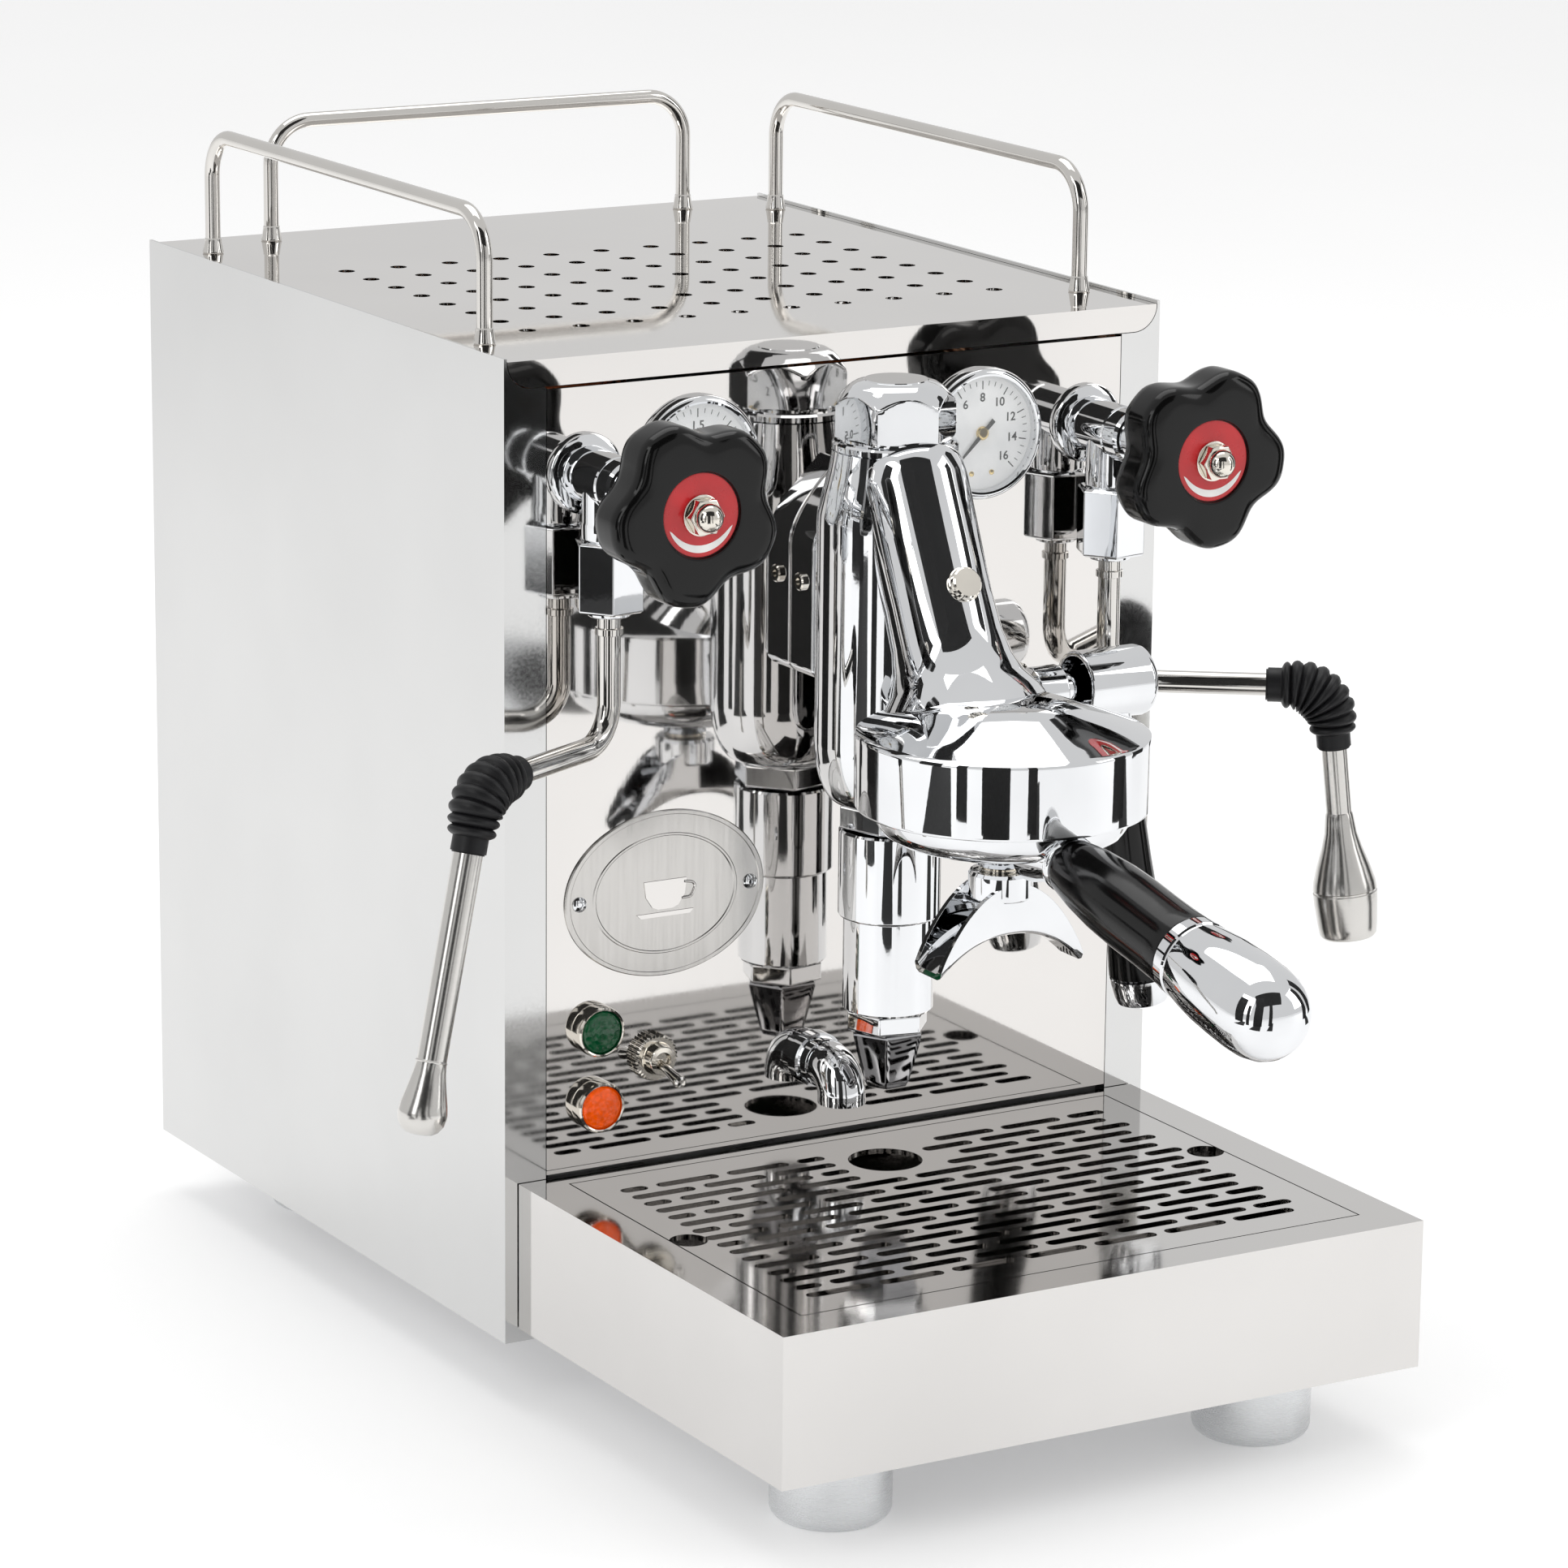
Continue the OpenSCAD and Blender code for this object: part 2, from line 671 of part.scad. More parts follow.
module filter_holder() stand() color("silver") difference() {
    union() {
        translate([0, brew_y, bell_bottom - 0.4]) {
            cylinder(h = 14, d = bell_bore - 2.6);
            mirror([0, 0, 1]) cylinder(h = 4, d1 = bowl_d, d2 = bowl_d - 8);
            translate([0, 0, -4]) mirror([0, 0, 1])
                cylinder(h = bell_bottom - 4.4 - bowl_floor, d1 = bowl_d - 8, d2 = 30);
        }
        translate([0, brew_y, stub_bottom]) cylinder(h = 14, d = 15);
        along_handle() translate([0, 0, 26]) cylinder(h = grip_start - 26, d1 = 13, d2 = 15);
        along_handle() translate([0, 0, grip_start]) cylinder(h = grip_l - 6, d = 8);
    }
    translate([0, brew_y, bell_bottom - 8]) cylinder(h = 30, d = basket_d + 3);
    translate([0, brew_y, bowl_floor + 3]) cylinder(h = 10, d1 = 12, d2 = 40);
    translate([0, brew_y, stub_bottom - 1]) cylinder(h = 20, d = 7);
}

module filter_basket() stand() color("gainsboro") translate([0, brew_y, bell_bottom - 7.6])
    difference() {
        union() {
            cylinder(h = 21.2, d = basket_d + 2.2);
            translate([0, 0, 21.2]) cylinder(h = 1.2, d = bell_bore - 6);
        }
        translate([0, 0, 1]) cylinder(h = 30, d = basket_d);
    }

// Crescent outline of the double spout, seen from the front
module spout_outline(shrink) {
    rise = spout_top - 8 - spout_bottom;
    outer = (spout_half * spout_half + rise * rise) / (2 * rise);
    inner_rise = rise * 0.36;
    inner_half_w = spout_half - 5;
    inner = (inner_half_w * inner_half_w + inner_rise * inner_rise) / (2 * inner_rise);
    intersection() {
        difference() {
            translate([0, rise - outer]) circle(r = outer - shrink, $fn = 96);
            translate([0, inner_rise - inner]) circle(r = inner + shrink, $fn = 96);
        }
        translate([-spout_half, 0]) square([2 * spout_half, rise + 1]);
    }
}

module spout() stand() color("silver") difference() {
    union() {
        translate([0, brew_y + spout_w / 2, spout_bottom]) rotate([90, 0, 0])
            linear_extrude(spout_w) spout_outline(0);
        translate([0, brew_y, stub_bottom - 8]) cylinder(h = 15, d = 23);
    }
    translate([0, brew_y, stub_bottom]) cylinder(h = 20, d = 15);
    for (s = [-1, 1]) intersection() {
        translate([0, brew_y + spout_w / 2 - 4, spout_bottom - 0.1]) rotate([90, 0, 0])
            linear_extrude(spout_w - 8) difference() {
                translate([0, -1]) scale([1.2, 1.2]) spout_outline(-3);
                spout_outline(5);
                translate([-11, 0]) square([22, 60]);
            }
        translate([s * 40, brew_y, spout_bottom]) cube([58, 60, 120], center = true);
    }
}

module handle_grip() stand() color([0.07, 0.07, 0.07]) along_handle() difference() {
    rotate_extrude() polygon([
        [0, grip_start], [9.5, grip_start], [11, grip_start + grip_l * 0.16],
        [13.4, grip_start + grip_l * 0.5], [14.6, grip_start + grip_l * 0.8],
        [15, cap_start], [0, cap_start]
    ]);
    translate([0, 0, grip_start - 1]) cylinder(h = grip_l - 4.9, d = 8);
}

module handle_cap() stand() color("silver") along_handle() rotate_extrude() polygon([
    [0, cap_start], [14.2, cap_start], [15.4, cap_start + cap_l * 0.16],
    [17, cap_start + cap_l * 0.3], [16.8, cap_start + cap_l * 0.72], [15.2, cap_start + cap_l * 0.86],
    [11.4, cap_start + cap_l * 0.95], [6, cap_start + cap_l * 0.99], [0, cap_start + cap_l]
]);

// ---- Cup tray ----

module vent_grid() {
    span_x = 2 * (half_w - 39);
    span_y = body_d - 154;
    for (i = [0 : vent_columns - 1]) for (j = [0 : vent_rows - 1])
        translate([-span_x / 2 + i * span_x / (vent_columns - 1), 56 + j * span_y / (vent_rows - 1)])
            circle(d = vent_d, $fn = 20);
}

module top_cover() stand() color("whitesmoke") {
    translate([0, 0, cover_under]) linear_extrude(sheet) difference() {
        translate([-inner_half, 0]) square([2 * inner_half, body_d]);
        vent_grid();
    }
    translate([0, sheet, 0]) rotate([90, 0, 0]) linear_extrude(sheet) intersection() {
        band_outline(0);
        translate([-half_w, 0]) square([body_w, cover_under]);
    }
}

// Rail in the XZ plane, centred on x = 0
module rail(span) {
    r = rail_d / 2;
    leg = rail_z - rail_bend - cover_top;
    for (s = [-1, 1]) {
        translate([s * span / 2, 0, cover_top]) cylinder(h = leg, r = r);
        translate([s * span / 2, 0, cover_top]) cylinder(h = 1.5, r = r + 0.5);
        bend([s * (span / 2 - rail_bend), rail_z - rail_bend], rail_bend, r, s > 0 ? 0 : 90, 90);
    }
    translate([-span / 2 + rail_bend, 0, rail_z]) rotate([0, 90, 0])
        cylinder(h = span - 2 * rail_bend, r = r);
}

module side_rail(side) translate([side * rail_x, (rail_front + rail_rear) / 2, 0])
    rotate([0, 0, 90]) rail(rail_rear - rail_front);

module rail_left() stand() color("silver") side_rail(-1);
module rail_right() stand() color("silver") side_rail(1);
module rail_back() stand() color("silver") translate([0, back_rail_y, 0]) rail(2 * back_rail_x);

// ---- Drip tray ----

module drip_tray() stand() color("gainsboro") difference() {
    translate([-tray_half, tray_front, tray_lift])
        cube([2 * tray_half, tray_back - tray_front, tray_h]);
    // Under the basin
    translate([-tray_half + sheet, tray_front + sheet, tray_lift - 1])
        cube([2 * (tray_half - sheet), tray_d, basin_floor - tray_lift + 1]);
    // Basin
    translate([-tray_half + sheet, tray_front + sheet, basin_floor + sheet])
        cube([
            2 * (tray_half - sheet), tray_back - tray_front - 2 * sheet,
            tray_top - ledge_drop - 2 * sheet - basin_floor
        ]);
    // Hollow under the rim, outside the fold that carries the grate
    difference() {
        translate([-tray_half + sheet, tray_front + sheet, tray_top - ledge_drop - sheet - 1])
            cube([
                2 * (tray_half - sheet), tray_back - tray_front - 2 * sheet, ledge_drop + 1
            ]);
        translate([-grate_half - grate_gap - sheet, grate_front - grate_gap - sheet, 0])
            cube([
                2 * (grate_half + grate_gap + sheet),
                grate_back - grate_front + 2 * (grate_gap + sheet), tray_top
            ]);
    }
    // Recess of the grate
    translate([-grate_half - grate_gap, grate_front - grate_gap, tray_top - ledge_drop])
        cube([
            2 * (grate_half + grate_gap), grate_back - grate_front + 2 * grate_gap,
            ledge_drop + 1
        ]);
    // Opening inside the ledge
    translate([-grate_half + 5, grate_front + 5, basin_floor + sheet])
        cube([2 * grate_half - 10, grate_back - grate_front - 10, tray_h]);
}

// Brick pattern of slots
module slot_field() {
    pitch = slot_l + slot_bridge;
    rows = floor((grate_back - grate_front - 18) / slot_pitch);
    start = grate_front + (grate_back - grate_front - (rows - 1) * slot_pitch) / 2;
    field = grate_half - 12;
    for (j = [0 : rows - 1]) {
        y = start + j * slot_pitch;
        shift = (j % 2) * pitch / 2;
        count = ceil(2 * field / pitch) + 1;
        for (i = [0 : count]) {
            left = max(-field, -field + i * pitch - shift);
            right = min(field, -field + i * pitch - shift + slot_l);
            near_drain = abs(y - drain_y) < drain_d / 2 + 5;
            for (part = clip(left, right, near_drain ? drain_d / 2 + 5 : 0))
                if (part[1] - part[0] > 2 * slot_w) translate([(part[0] + part[1]) / 2, y])
                    rounded_slot(part[1] - part[0], slot_w);
        }
    }
}

// Splits the stretch from a to b so that it stays clear of the middle by keep on both sides
function clip(a, b, keep) = keep == 0 ? [[a, b]] : [[a, min(b, -keep)], [max(a, keep), b]];

module drip_grate() stand() color("silver") {
    translate([0, 0, tray_top - grate_t]) linear_extrude(grate_t) difference() {
        translate([-grate_half, grate_front])
            square([2 * grate_half, grate_back - grate_front]);
        slot_field();
        translate([0, drain_y]) circle(d = drain_d);
        for (s = [-1, 1]) translate([s * (grate_half - 6), (grate_front + grate_back) / 2 + 6])
            circle(d = finger_d);
    }
    translate([0, 0, tray_top - ledge_drop + 0.2]) linear_extrude(ledge_drop - grate_t - 0.2)
        difference() {
            translate([-grate_half, grate_front])
                square([2 * grate_half, grate_back - grate_front]);
            translate([-grate_half + sheet, grate_front + sheet])
                square([2 * (grate_half - sheet), grate_back - grate_front - 2 * sheet]);
            for (s = [-1, 1])
                translate([s * (grate_half - 6), (grate_front + grate_back) / 2 + 6])
                    circle(d = finger_d);
        }
}

// ---- Inside the cabinet ----

module boiler_tube(r, from, to) {
    translate([from, boiler_y, boiler_z]) rotate([0, 90, 0]) cylinder(h = to - from, r = r);
}

boiler_left = -boiler_l / 2 - 6;
boiler_right = boiler_left + boiler_l;
exchanger_d = 28;

module across_boiler(r, grow) {
    rod([0, boiler_y - boiler_d / 2 - grow, boiler_z], [0, boiler_y + boiler_d / 2 + grow, boiler_z], r);
}

module boiler_shell() stand() color("peru") difference() {
    boiler_tube(boiler_d / 2, boiler_left, boiler_right);
    boiler_tube(boiler_d / 2 - boiler_wall, boiler_left + boiler_wall, boiler_right + 1);
    across_boiler(exchanger_d / 2 + 0.1, 10);
}

module boiler_flange() stand() color("goldenrod") difference() {
    boiler_tube(boiler_d / 2 + 12, boiler_right, boiler_right + flange_t);
    for (i = [0 : 7]) flange_hole(i, 3.1, flange_t + 2);
}

module flange_hole(i, r, h) {
    translate([boiler_right - 1, boiler_y, boiler_z]) rotate([i * 45 + 22.5, 0, 0])
        translate([0, 0, boiler_d / 2 + 6]) rotate([0, 90, 0]) cylinder(h = h, r = r);
}

module flange_bolts() stand() color("silver") for (i = [0 : 7]) {
    flange_hole(i, 3, flange_t + 1);
    translate([boiler_right + flange_t, boiler_y, boiler_z]) rotate([i * 45 + 22.5, 0, 0])
        translate([0, 0, boiler_d / 2 + 6]) rotate([0, 90, 0]) hexagon(9, 4);
}

module heating_element() stand() color("dimgray")
    for (z = [-34, -24]) {
        y = boiler_y;
        points = [
            [boiler_right, y - 14, boiler_z + z], [boiler_left + 24, y - 14, boiler_z + z],
            [boiler_left + 24, y + 14, boiler_z + z], [boiler_right, y + 14, boiler_z + z]
        ];
        pipe(points, 3.4);
    }

module heat_exchanger() stand() color("peru") {
    across_boiler(exchanger_d / 2, 6);
    for (z = syphon_heights)
        front_rod(0, z, boiler_y - boiler_d / 2 - 6, 0.1, pipe_d / 2);
}

module boiler_bracket() stand() color("silver") difference() {
    for (s = [-1, 1]) translate([s * 52 - 7.5, boiler_y - 40, base_top])
        cube([3, 80, boiler_z - boiler_d / 2 + 12 - base_top]);
    boiler_tube(boiler_d / 2 + 0.1, boiler_left - 5, boiler_right + 5);
}

module boiler_pipes() stand() color("peru") {
    top = boiler_z + boiler_d / 2 - boiler_wall / 2;
    over = boiler_z + boiler_d / 2 + 12 + pipe_d / 2 + 3;
    for (s = [-1, 1]) pipe([
        [s * 40, boiler_y, top + 1.4], [s * 40, boiler_y, over], [s * valve_x, boiler_y, over],
        [s * valve_x, 40, valve_z], [s * valve_x, 20, valve_z]
    ], pipe_d / 2);
}

pump_y = tank_front + 48;
pump_z = base_top + 32;

module pump() stand() color("dimgray") translate([-26, pump_y, pump_z]) rotate([0, -90, 0]) {
    cylinder(h = 60, d = 36);
    translate([-23, -22, 8]) cube([46, 44, 40]);
    translate([0, 0, 60]) cylinder(h = 22, d = 16);
    translate([0, 0, -14]) cylinder(h = 14, d = 12);
    for (s = [-1, 1]) translate([-32, s * 18 - 2, 20]) cube([10, 4, 16]);
}

module water_tank() stand() color("aliceblue", 0.6) difference() {
    translate([-tank_half, tank_front, tank_bottom])
        cube([2 * tank_half, tank_back - tank_front, tank_h]);
    translate([-tank_half + tank_wall, tank_front + tank_wall, tank_bottom + tank_wall])
        cube([
            2 * (tank_half - tank_wall), tank_back - tank_front - 2 * tank_wall, tank_h
        ]);
}

module control_box() stand() color("gray") translate([27, tank_front + 14, base_top]) difference() {
    cube([80, 66, 46]);
    translate([2, 2, 2]) cube([76, 62, 42]);
    translate([-1, 20, 14]) cube([4, 26, 12]);
}

module power_inlet() stand() color([0.1, 0.1, 0.1]) translate([inlet_x, body_d, inlet_z]) difference() {
    union() {
        translate([-13.8, -26, -10.3]) cube([27.6, 26 - sheet, 20.6]);
        translate([-19, -sheet, -13]) cube([38, 3, 26]);
    }
    difference() {
        translate([-12, -16, -8]) cube([24, 20, 16]);
        for (x = [-7, 0, 7]) translate([x - 1, -17, x == 0 ? 0 : -4]) cube([2, 16, 4]);
    }
}

base_frame();
side_panel_left();
side_panel_right();
back_panel();
splash_panel();
feet();
badge_plate();
gauge_cases();
gauge_dials();
gauge_glasses();
needle_left();
needle_right();
lamp_green();
lamp_orange();
switch_body();
switch_toggle();
drain_outlet();
lever_stop_pin();
group_body();
group_cap_nut();
preinfusion_chamber();
shower_screen();
steam_valve();
water_valve();
steam_spindle();
water_spindle();
steam_knob();
water_knob();
steam_seat();
water_seat();
steam_wand();
steam_grip();
steam_tip();
water_wand();
water_grip();
water_nozzle();
brew_lever();
lever_grip();
filter_holder();
filter_basket();
spout();
handle_grip();
handle_cap();
top_cover();
rail_left();
rail_right();
rail_back();
drip_tray();
drip_grate();
boiler_shell();
boiler_flange();
flange_bolts();
heating_element();
heat_exchanger();
boiler_bracket();
pump();
boiler_pipes();
water_tank();
control_box();
power_inlet();
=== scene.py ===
"""Espresso machine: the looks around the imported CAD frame.

Lengths are in millimetres in the cabinet's own frame: x = 0 is the cabinet's middle, y = 0 its
front face (the front faces -y) and z = 0 the lower edge of the side panels. place() turns a point
of that frame into the row frame in metres.
"""

import math

import bpy
from mathutils import Matrix, Vector


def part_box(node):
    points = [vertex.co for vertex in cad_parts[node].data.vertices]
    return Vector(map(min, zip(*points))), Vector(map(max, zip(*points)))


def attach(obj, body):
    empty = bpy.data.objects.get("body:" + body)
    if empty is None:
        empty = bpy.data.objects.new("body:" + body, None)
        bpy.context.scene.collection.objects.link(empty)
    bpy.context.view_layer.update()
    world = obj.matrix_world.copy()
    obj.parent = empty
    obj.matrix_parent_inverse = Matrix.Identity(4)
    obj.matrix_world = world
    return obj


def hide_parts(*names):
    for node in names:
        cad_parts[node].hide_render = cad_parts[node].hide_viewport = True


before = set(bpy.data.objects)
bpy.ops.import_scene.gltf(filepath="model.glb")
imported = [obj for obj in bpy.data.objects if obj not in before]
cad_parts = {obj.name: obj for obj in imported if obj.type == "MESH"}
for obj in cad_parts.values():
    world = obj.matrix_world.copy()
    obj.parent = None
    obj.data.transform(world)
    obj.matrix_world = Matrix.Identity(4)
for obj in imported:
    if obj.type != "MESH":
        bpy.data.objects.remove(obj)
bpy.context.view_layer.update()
MM = 0.001

# ---- Where the cabinet is ----

left_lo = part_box("side_panel_left")[0]
right_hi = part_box("side_panel_right")[1]
ORIGIN = Vector(((left_lo.x + right_hi.x) / 2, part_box("splash_panel")[0].y, left_lo.z))


def place(x, y, z):
    return ORIGIN + Vector((x, y, z)) * MM


def lo(node):
    return (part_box(node)[0] - ORIGIN) / MM


def hi(node):
    return (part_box(node)[1] - ORIGIN) / MM


def mid(node):
    return (lo(node) + hi(node)) / 2


X, Y, Z = Vector((1, 0, 0)), Vector((0, 1, 0)), Vector((0, 0, 1))
FORWARD = -Y

# ---- Materials ----


class Paint:
    """A Principled material with its texture nodes, all in the object's own space in metres."""

    def __init__(self, name, colour, rough, metal=0.0):
        self.material = bpy.data.materials.new(name)
        self.material.use_nodes = True
        self.tree = self.material.node_tree
        self.shader = self.tree.nodes["Principled BSDF"]
        self.shader.inputs["Base Color"].default_value = (*colour, 1)
        self.shader.inputs["Roughness"].default_value = rough
        self.shader.inputs["Metallic"].default_value = metal
        self.colour, self.rough = colour, rough
        self.coords = self.tree.nodes.new("ShaderNodeTexCoord")
        self.last_normal = None

    def add(self, kind, **values):
        node = self.tree.nodes.new(kind)
        for key, value in values.items():
            node.inputs[key].default_value = value
        return node

    def link(self, a, a_out, b, b_in):
        self.tree.links.new(a.outputs[a_out], b.inputs[b_in])

    def noise(self, scale, detail=4.0, stretch=(1, 1, 1)):
        mapping = self.add("ShaderNodeMapping")
        mapping.inputs["Scale"].default_value = stretch
        self.link(self.coords, "Object", mapping, "Vector")
        noise = self.add("ShaderNodeTexNoise", Scale=scale, Detail=detail)
        self.link(mapping, "Vector", noise, "Vector")
        return noise

    def spread(self, source, output, low, high):
        scaled = self.add("ShaderNodeMapRange")
        scaled.inputs["To Min"].default_value = low
        scaled.inputs["To Max"].default_value = high
        self.link(source, output, scaled, "Value")
        return scaled

    def vary_roughness(self, scale, amount, stretch=(1, 1, 1)):
        noise = self.noise(scale, stretch=stretch)
        scaled = self.spread(noise, "Fac", max(self.rough - amount, 0.0), self.rough + amount)
        self.link(scaled, "Result", self.shader, "Roughness")
        return self

    def vary_colour(self, scale, amount, stretch=(1, 1, 1)):
        noise = self.noise(scale, 3.0, stretch)
        ramp = self.add("ShaderNodeValToRGB")
        dark = [c * (1 - amount) for c in self.colour]
        light = [min(c * (1 + amount), 1) for c in self.colour]
        ramp.color_ramp.elements[0].position = 0.3
        ramp.color_ramp.elements[0].color = (*dark, 1)
        ramp.color_ramp.elements[1].position = 0.7
        ramp.color_ramp.elements[1].color = (*light, 1)
        self.link(noise, "Fac", ramp, "Fac")
        self.link(ramp, "Color", self.shader, "Base Color")
        return self

    def bump(self, source, output, strength, distance):
        bump = self.add("ShaderNodeBump")
        bump.inputs["Strength"].default_value = strength
        bump.inputs["Distance"].default_value = distance
        self.link(source, output, bump, "Height")
        if self.last_normal is not None:
            self.link(self.last_normal, "Normal", bump, "Normal")
        self.link(bump, "Normal", self.shader, "Normal")
        self.last_normal = bump
        return self

    def rough_skin(self, scale, strength, distance, stretch=(1, 1, 1)):
        return self.bump(self.noise(scale, stretch=stretch), "Fac", strength, distance)

    def set(self, **values):
        for key, value in values.items():
            self.shader.inputs[key.replace("_", " ")].default_value = value
        return self


def sheet_metal(name, colour, rough, grain):
    """Polished or brushed sheet: fine lines along one direction and a slow waviness."""
    paint = Paint(name, colour, rough, 1.0)
    paint.vary_colour(9, 0.03)
    paint.vary_roughness(700, rough * 0.5, grain)
    paint.rough_skin(5, 0.05, 0.002)
    return paint.rough_skin(900, 0.02, 0.0001, grain)


def cast_chrome(name, colour, rough):
    paint = Paint(name, colour, rough, 1.0)
    paint.vary_colour(30, 0.03)
    paint.vary_roughness(180, rough * 0.6)
    return paint.rough_skin(60, 0.03, 0.0006)


def turned(name, colour, rough):
    """Lathe marks: fine rings round the upright axis, one above the other."""
    paint = Paint(name, colour, rough, 1.0)
    paint.vary_colour(40, 0.05)
    paint.vary_roughness(60, rough * 0.3, (1, 1, 40))
    return paint.rough_skin(40, 0.12, 0.0001, (0.1, 0.1, 30))


def moulded(name, colour, rough, coat=0.0):
    paint = Paint(name, colour, rough)
    paint.vary_colour(80, 0.12)
    paint.vary_roughness(220, rough * 0.35)
    paint.rough_skin(260, 0.06, 0.0002)
    return paint.set(Coat_Weight=coat, Coat_Roughness=0.05)


def lens(name, colour, glow):
    paint = Paint(name, colour, 0.12)
    paint.vary_colour(500, 0.25)
    paint.vary_roughness(300, 0.05)
    rings = paint.add("ShaderNodeTexVoronoi", Scale=420.0)
    paint.link(paint.coords, "Object", rings, "Vector")
    paint.bump(rings, "Distance", 0.5, 0.0008)
    return paint.set(
        Transmission_Weight=0.1, IOR=1.5, Coat_Weight=0.2, Coat_Roughness=0.03,
        Emission_Color=(*colour, 1), Emission_Strength=glow,
    )


mirror_steel = sheet_metal("mirror_steel", (0.74, 0.72, 0.7), 0.04, (1, 1, 0.05)).material
side_steel = sheet_metal("side_steel", (0.67, 0.67, 0.665), 0.09, (1, 0.03, 1)).material
tray_steel = sheet_metal("tray_steel", (0.7, 0.685, 0.67), 0.08, (0.03, 1, 1)).material
plain_steel = sheet_metal("plain_steel", (0.62, 0.62, 0.63), 0.3, (0.04, 1, 1)).material
tube_steel = cast_chrome("tube_steel", (0.7, 0.68, 0.65), 0.07).material
brushed_tube = turned("brushed_tube", (0.66, 0.645, 0.62), 0.2).material
chrome = cast_chrome("chrome", (0.8, 0.81, 0.825), 0.025).material
dark_chrome = cast_chrome("dark_chrome", (0.3, 0.3, 0.31), 0.05).material
nickel = cast_chrome("nickel", (0.79, 0.75, 0.68), 0.1).material
brass = cast_chrome("brass_metal", (0.8, 0.62, 0.3), 0.16).material
copper = cast_chrome("copper_metal", (0.78, 0.42, 0.26), 0.24).material
aluminium = turned("turned_aluminium", (0.7, 0.71, 0.72), 0.27).material
bakelite = moulded("bakelite", (0.003, 0.003, 0.003), 0.13).set(Specular_IOR_Level=0.3).material
rubber = moulded("black_rubber", (0.008, 0.008, 0.009), 0.42).set(Specular_IOR_Level=0.3).material
black_print = moulded("black_print", (0.015, 0.015, 0.016), 0.4).material
dark_plastic = moulded("dark_plastic", (0.03, 0.03, 0.032), 0.45).material
pump_paint = moulded("pump_paint", (0.06, 0.06, 0.065), 0.4).material
# Painted light: the white dial face glows (emission 0.14) so it reads bright behind the glass,
# though the gauge has no lamp inside.
dial_white_painted_glow = moulded("dial_white_painted_glow", (0.93, 0.94, 0.95), 0.45)
dial_white_painted_glow = dial_white_painted_glow.set(Emission_Color=(1, 1, 1, 1), Emission_Strength=0.14).material
white_print = moulded("white_print", (0.8, 0.79, 0.77), 0.4).material
ptfe = moulded("ptfe", (0.75, 0.75, 0.72), 0.4).material
red_disc = moulded("red_disc", (0.5, 0.008, 0.012), 0.3, 0.3).material
tank_plastic = moulded("tank_plastic", (0.7, 0.75, 0.78), 0.35)
tank_plastic = tank_plastic.set(Transmission_Weight=0.6).material
badge_steel = sheet_metal("badge_steel", (0.6, 0.585, 0.565), 0.22, (1, 1, 0.05)).material
green_lens = lens("green_lens", (0.0, 0.065, 0.02), 0.12).material
orange_lens = lens("orange_lens", (0.8, 0.09, 0.0), 0.25).material
glass = Paint("gauge_glass", (0.97, 0.99, 0.98), 0.02).vary_roughness(90, 0.01)
glass = glass.set(Alpha=0.1).material

# ---- Mesh helpers ----


def added(name, data):
    """A new object in the scene."""
    thing = bpy.data.objects.new(name, data)
    bpy.context.scene.collection.objects.link(thing)
    return thing


def round_edges(piece, width, segments, angle):
    """A fine rounded edge wherever two faces meet at more than angle degrees."""
    cut = piece.modifiers.new("edges", "BEVEL")
    cut.width = width * MM
    cut.segments = segments
    cut.limit_method = "ANGLE"
    cut.angle_limit = math.radians(angle)


def weigh_normals(piece, weight):
    """Keeps the reflections on large faces straight beside small rounded ones."""
    normals = piece.modifiers.new("normals", "WEIGHTED_NORMAL")
    normals.keep_sharp = True
    normals.weight = weight


def finished(name, verts, faces, material, body, replaces=(), slot=None, sharp=32, bevel=0.0):
    """Makes one piece from points in cabinet millimetres and lets it ride on its body."""
    mesh = bpy.data.meshes.new(name)
    mesh.from_pydata([place(*v) for v in verts], [], faces)
    mesh.validate()
    mesh.update()
    piece = added(name, mesh)
    mesh.shade_smooth()
    mesh.set_sharp_from_angle(angle=math.radians(sharp))
    mesh.materials.append(material)
    if bevel:
        round_edges(piece, bevel, 3, 40)
    weigh_normals(piece, 100)
    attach(piece, body)
    if replaces:
        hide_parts(*replaces)
    return piece


def loft_faces(count, sides):
    """Faces that join `count` rings of `sides` points, with a cap on each end."""
    faces = []
    for i in range(count - 1):
        for j in range(sides):
            a, b = i * sides + j, i * sides + (j + 1) % sides
            faces.append((a, b, b + sides, a + sides))
    faces.append(tuple(reversed(range(sides))))
    faces.append(tuple((count - 1) * sides + j for j in range(sides)))
    return faces


def circle(steps):
    """The angles of one turn."""
    return [2 * math.pi * j / steps for j in range(steps)]


def across(axis):
    """Two unit vectors square to axis, right-handed with it."""
    side = axis.cross(Z) if abs(axis.dot(Z)) < 0.9 else axis.cross(Y)
    side.normalize()
    return side, axis.cross(side)


def at_angle(side, up, angle):
    return side * math.cos(angle) + up * math.sin(angle)


def turned_shape(profile, start, axis, steps=96, outline=None):
    """Points and faces of a shape turned about axis. profile holds (distance along, radius).

    outline(angle) multiplies the radius, for lobed and knurled shapes.
    """
    axis = Vector(axis).normalized()
    side, up = across(axis)
    start = Vector(start)
    verts = []
    for along, radius in profile:
        for angle in circle(steps):
            r = max(radius, 0.01) * (outline(angle) if outline else 1.0)
            verts.append(start + axis * along + at_angle(side, up, angle) * r)
    return verts, loft_faces(len(profile), steps)


def lathe(name, profile, start, axis, material, body, steps=96, outline=None, **kw):
    verts, faces = turned_shape(profile, start, axis, steps, outline)
    return finished(name, verts, faces, material, body, **kw)


def joined(*shapes):
    """Several (points, faces) shapes as one."""
    verts, faces = [], []
    for v, f in shapes:
        faces += [tuple(i + len(verts) for i in face) for face in f]
        verts += v
    return verts, faces


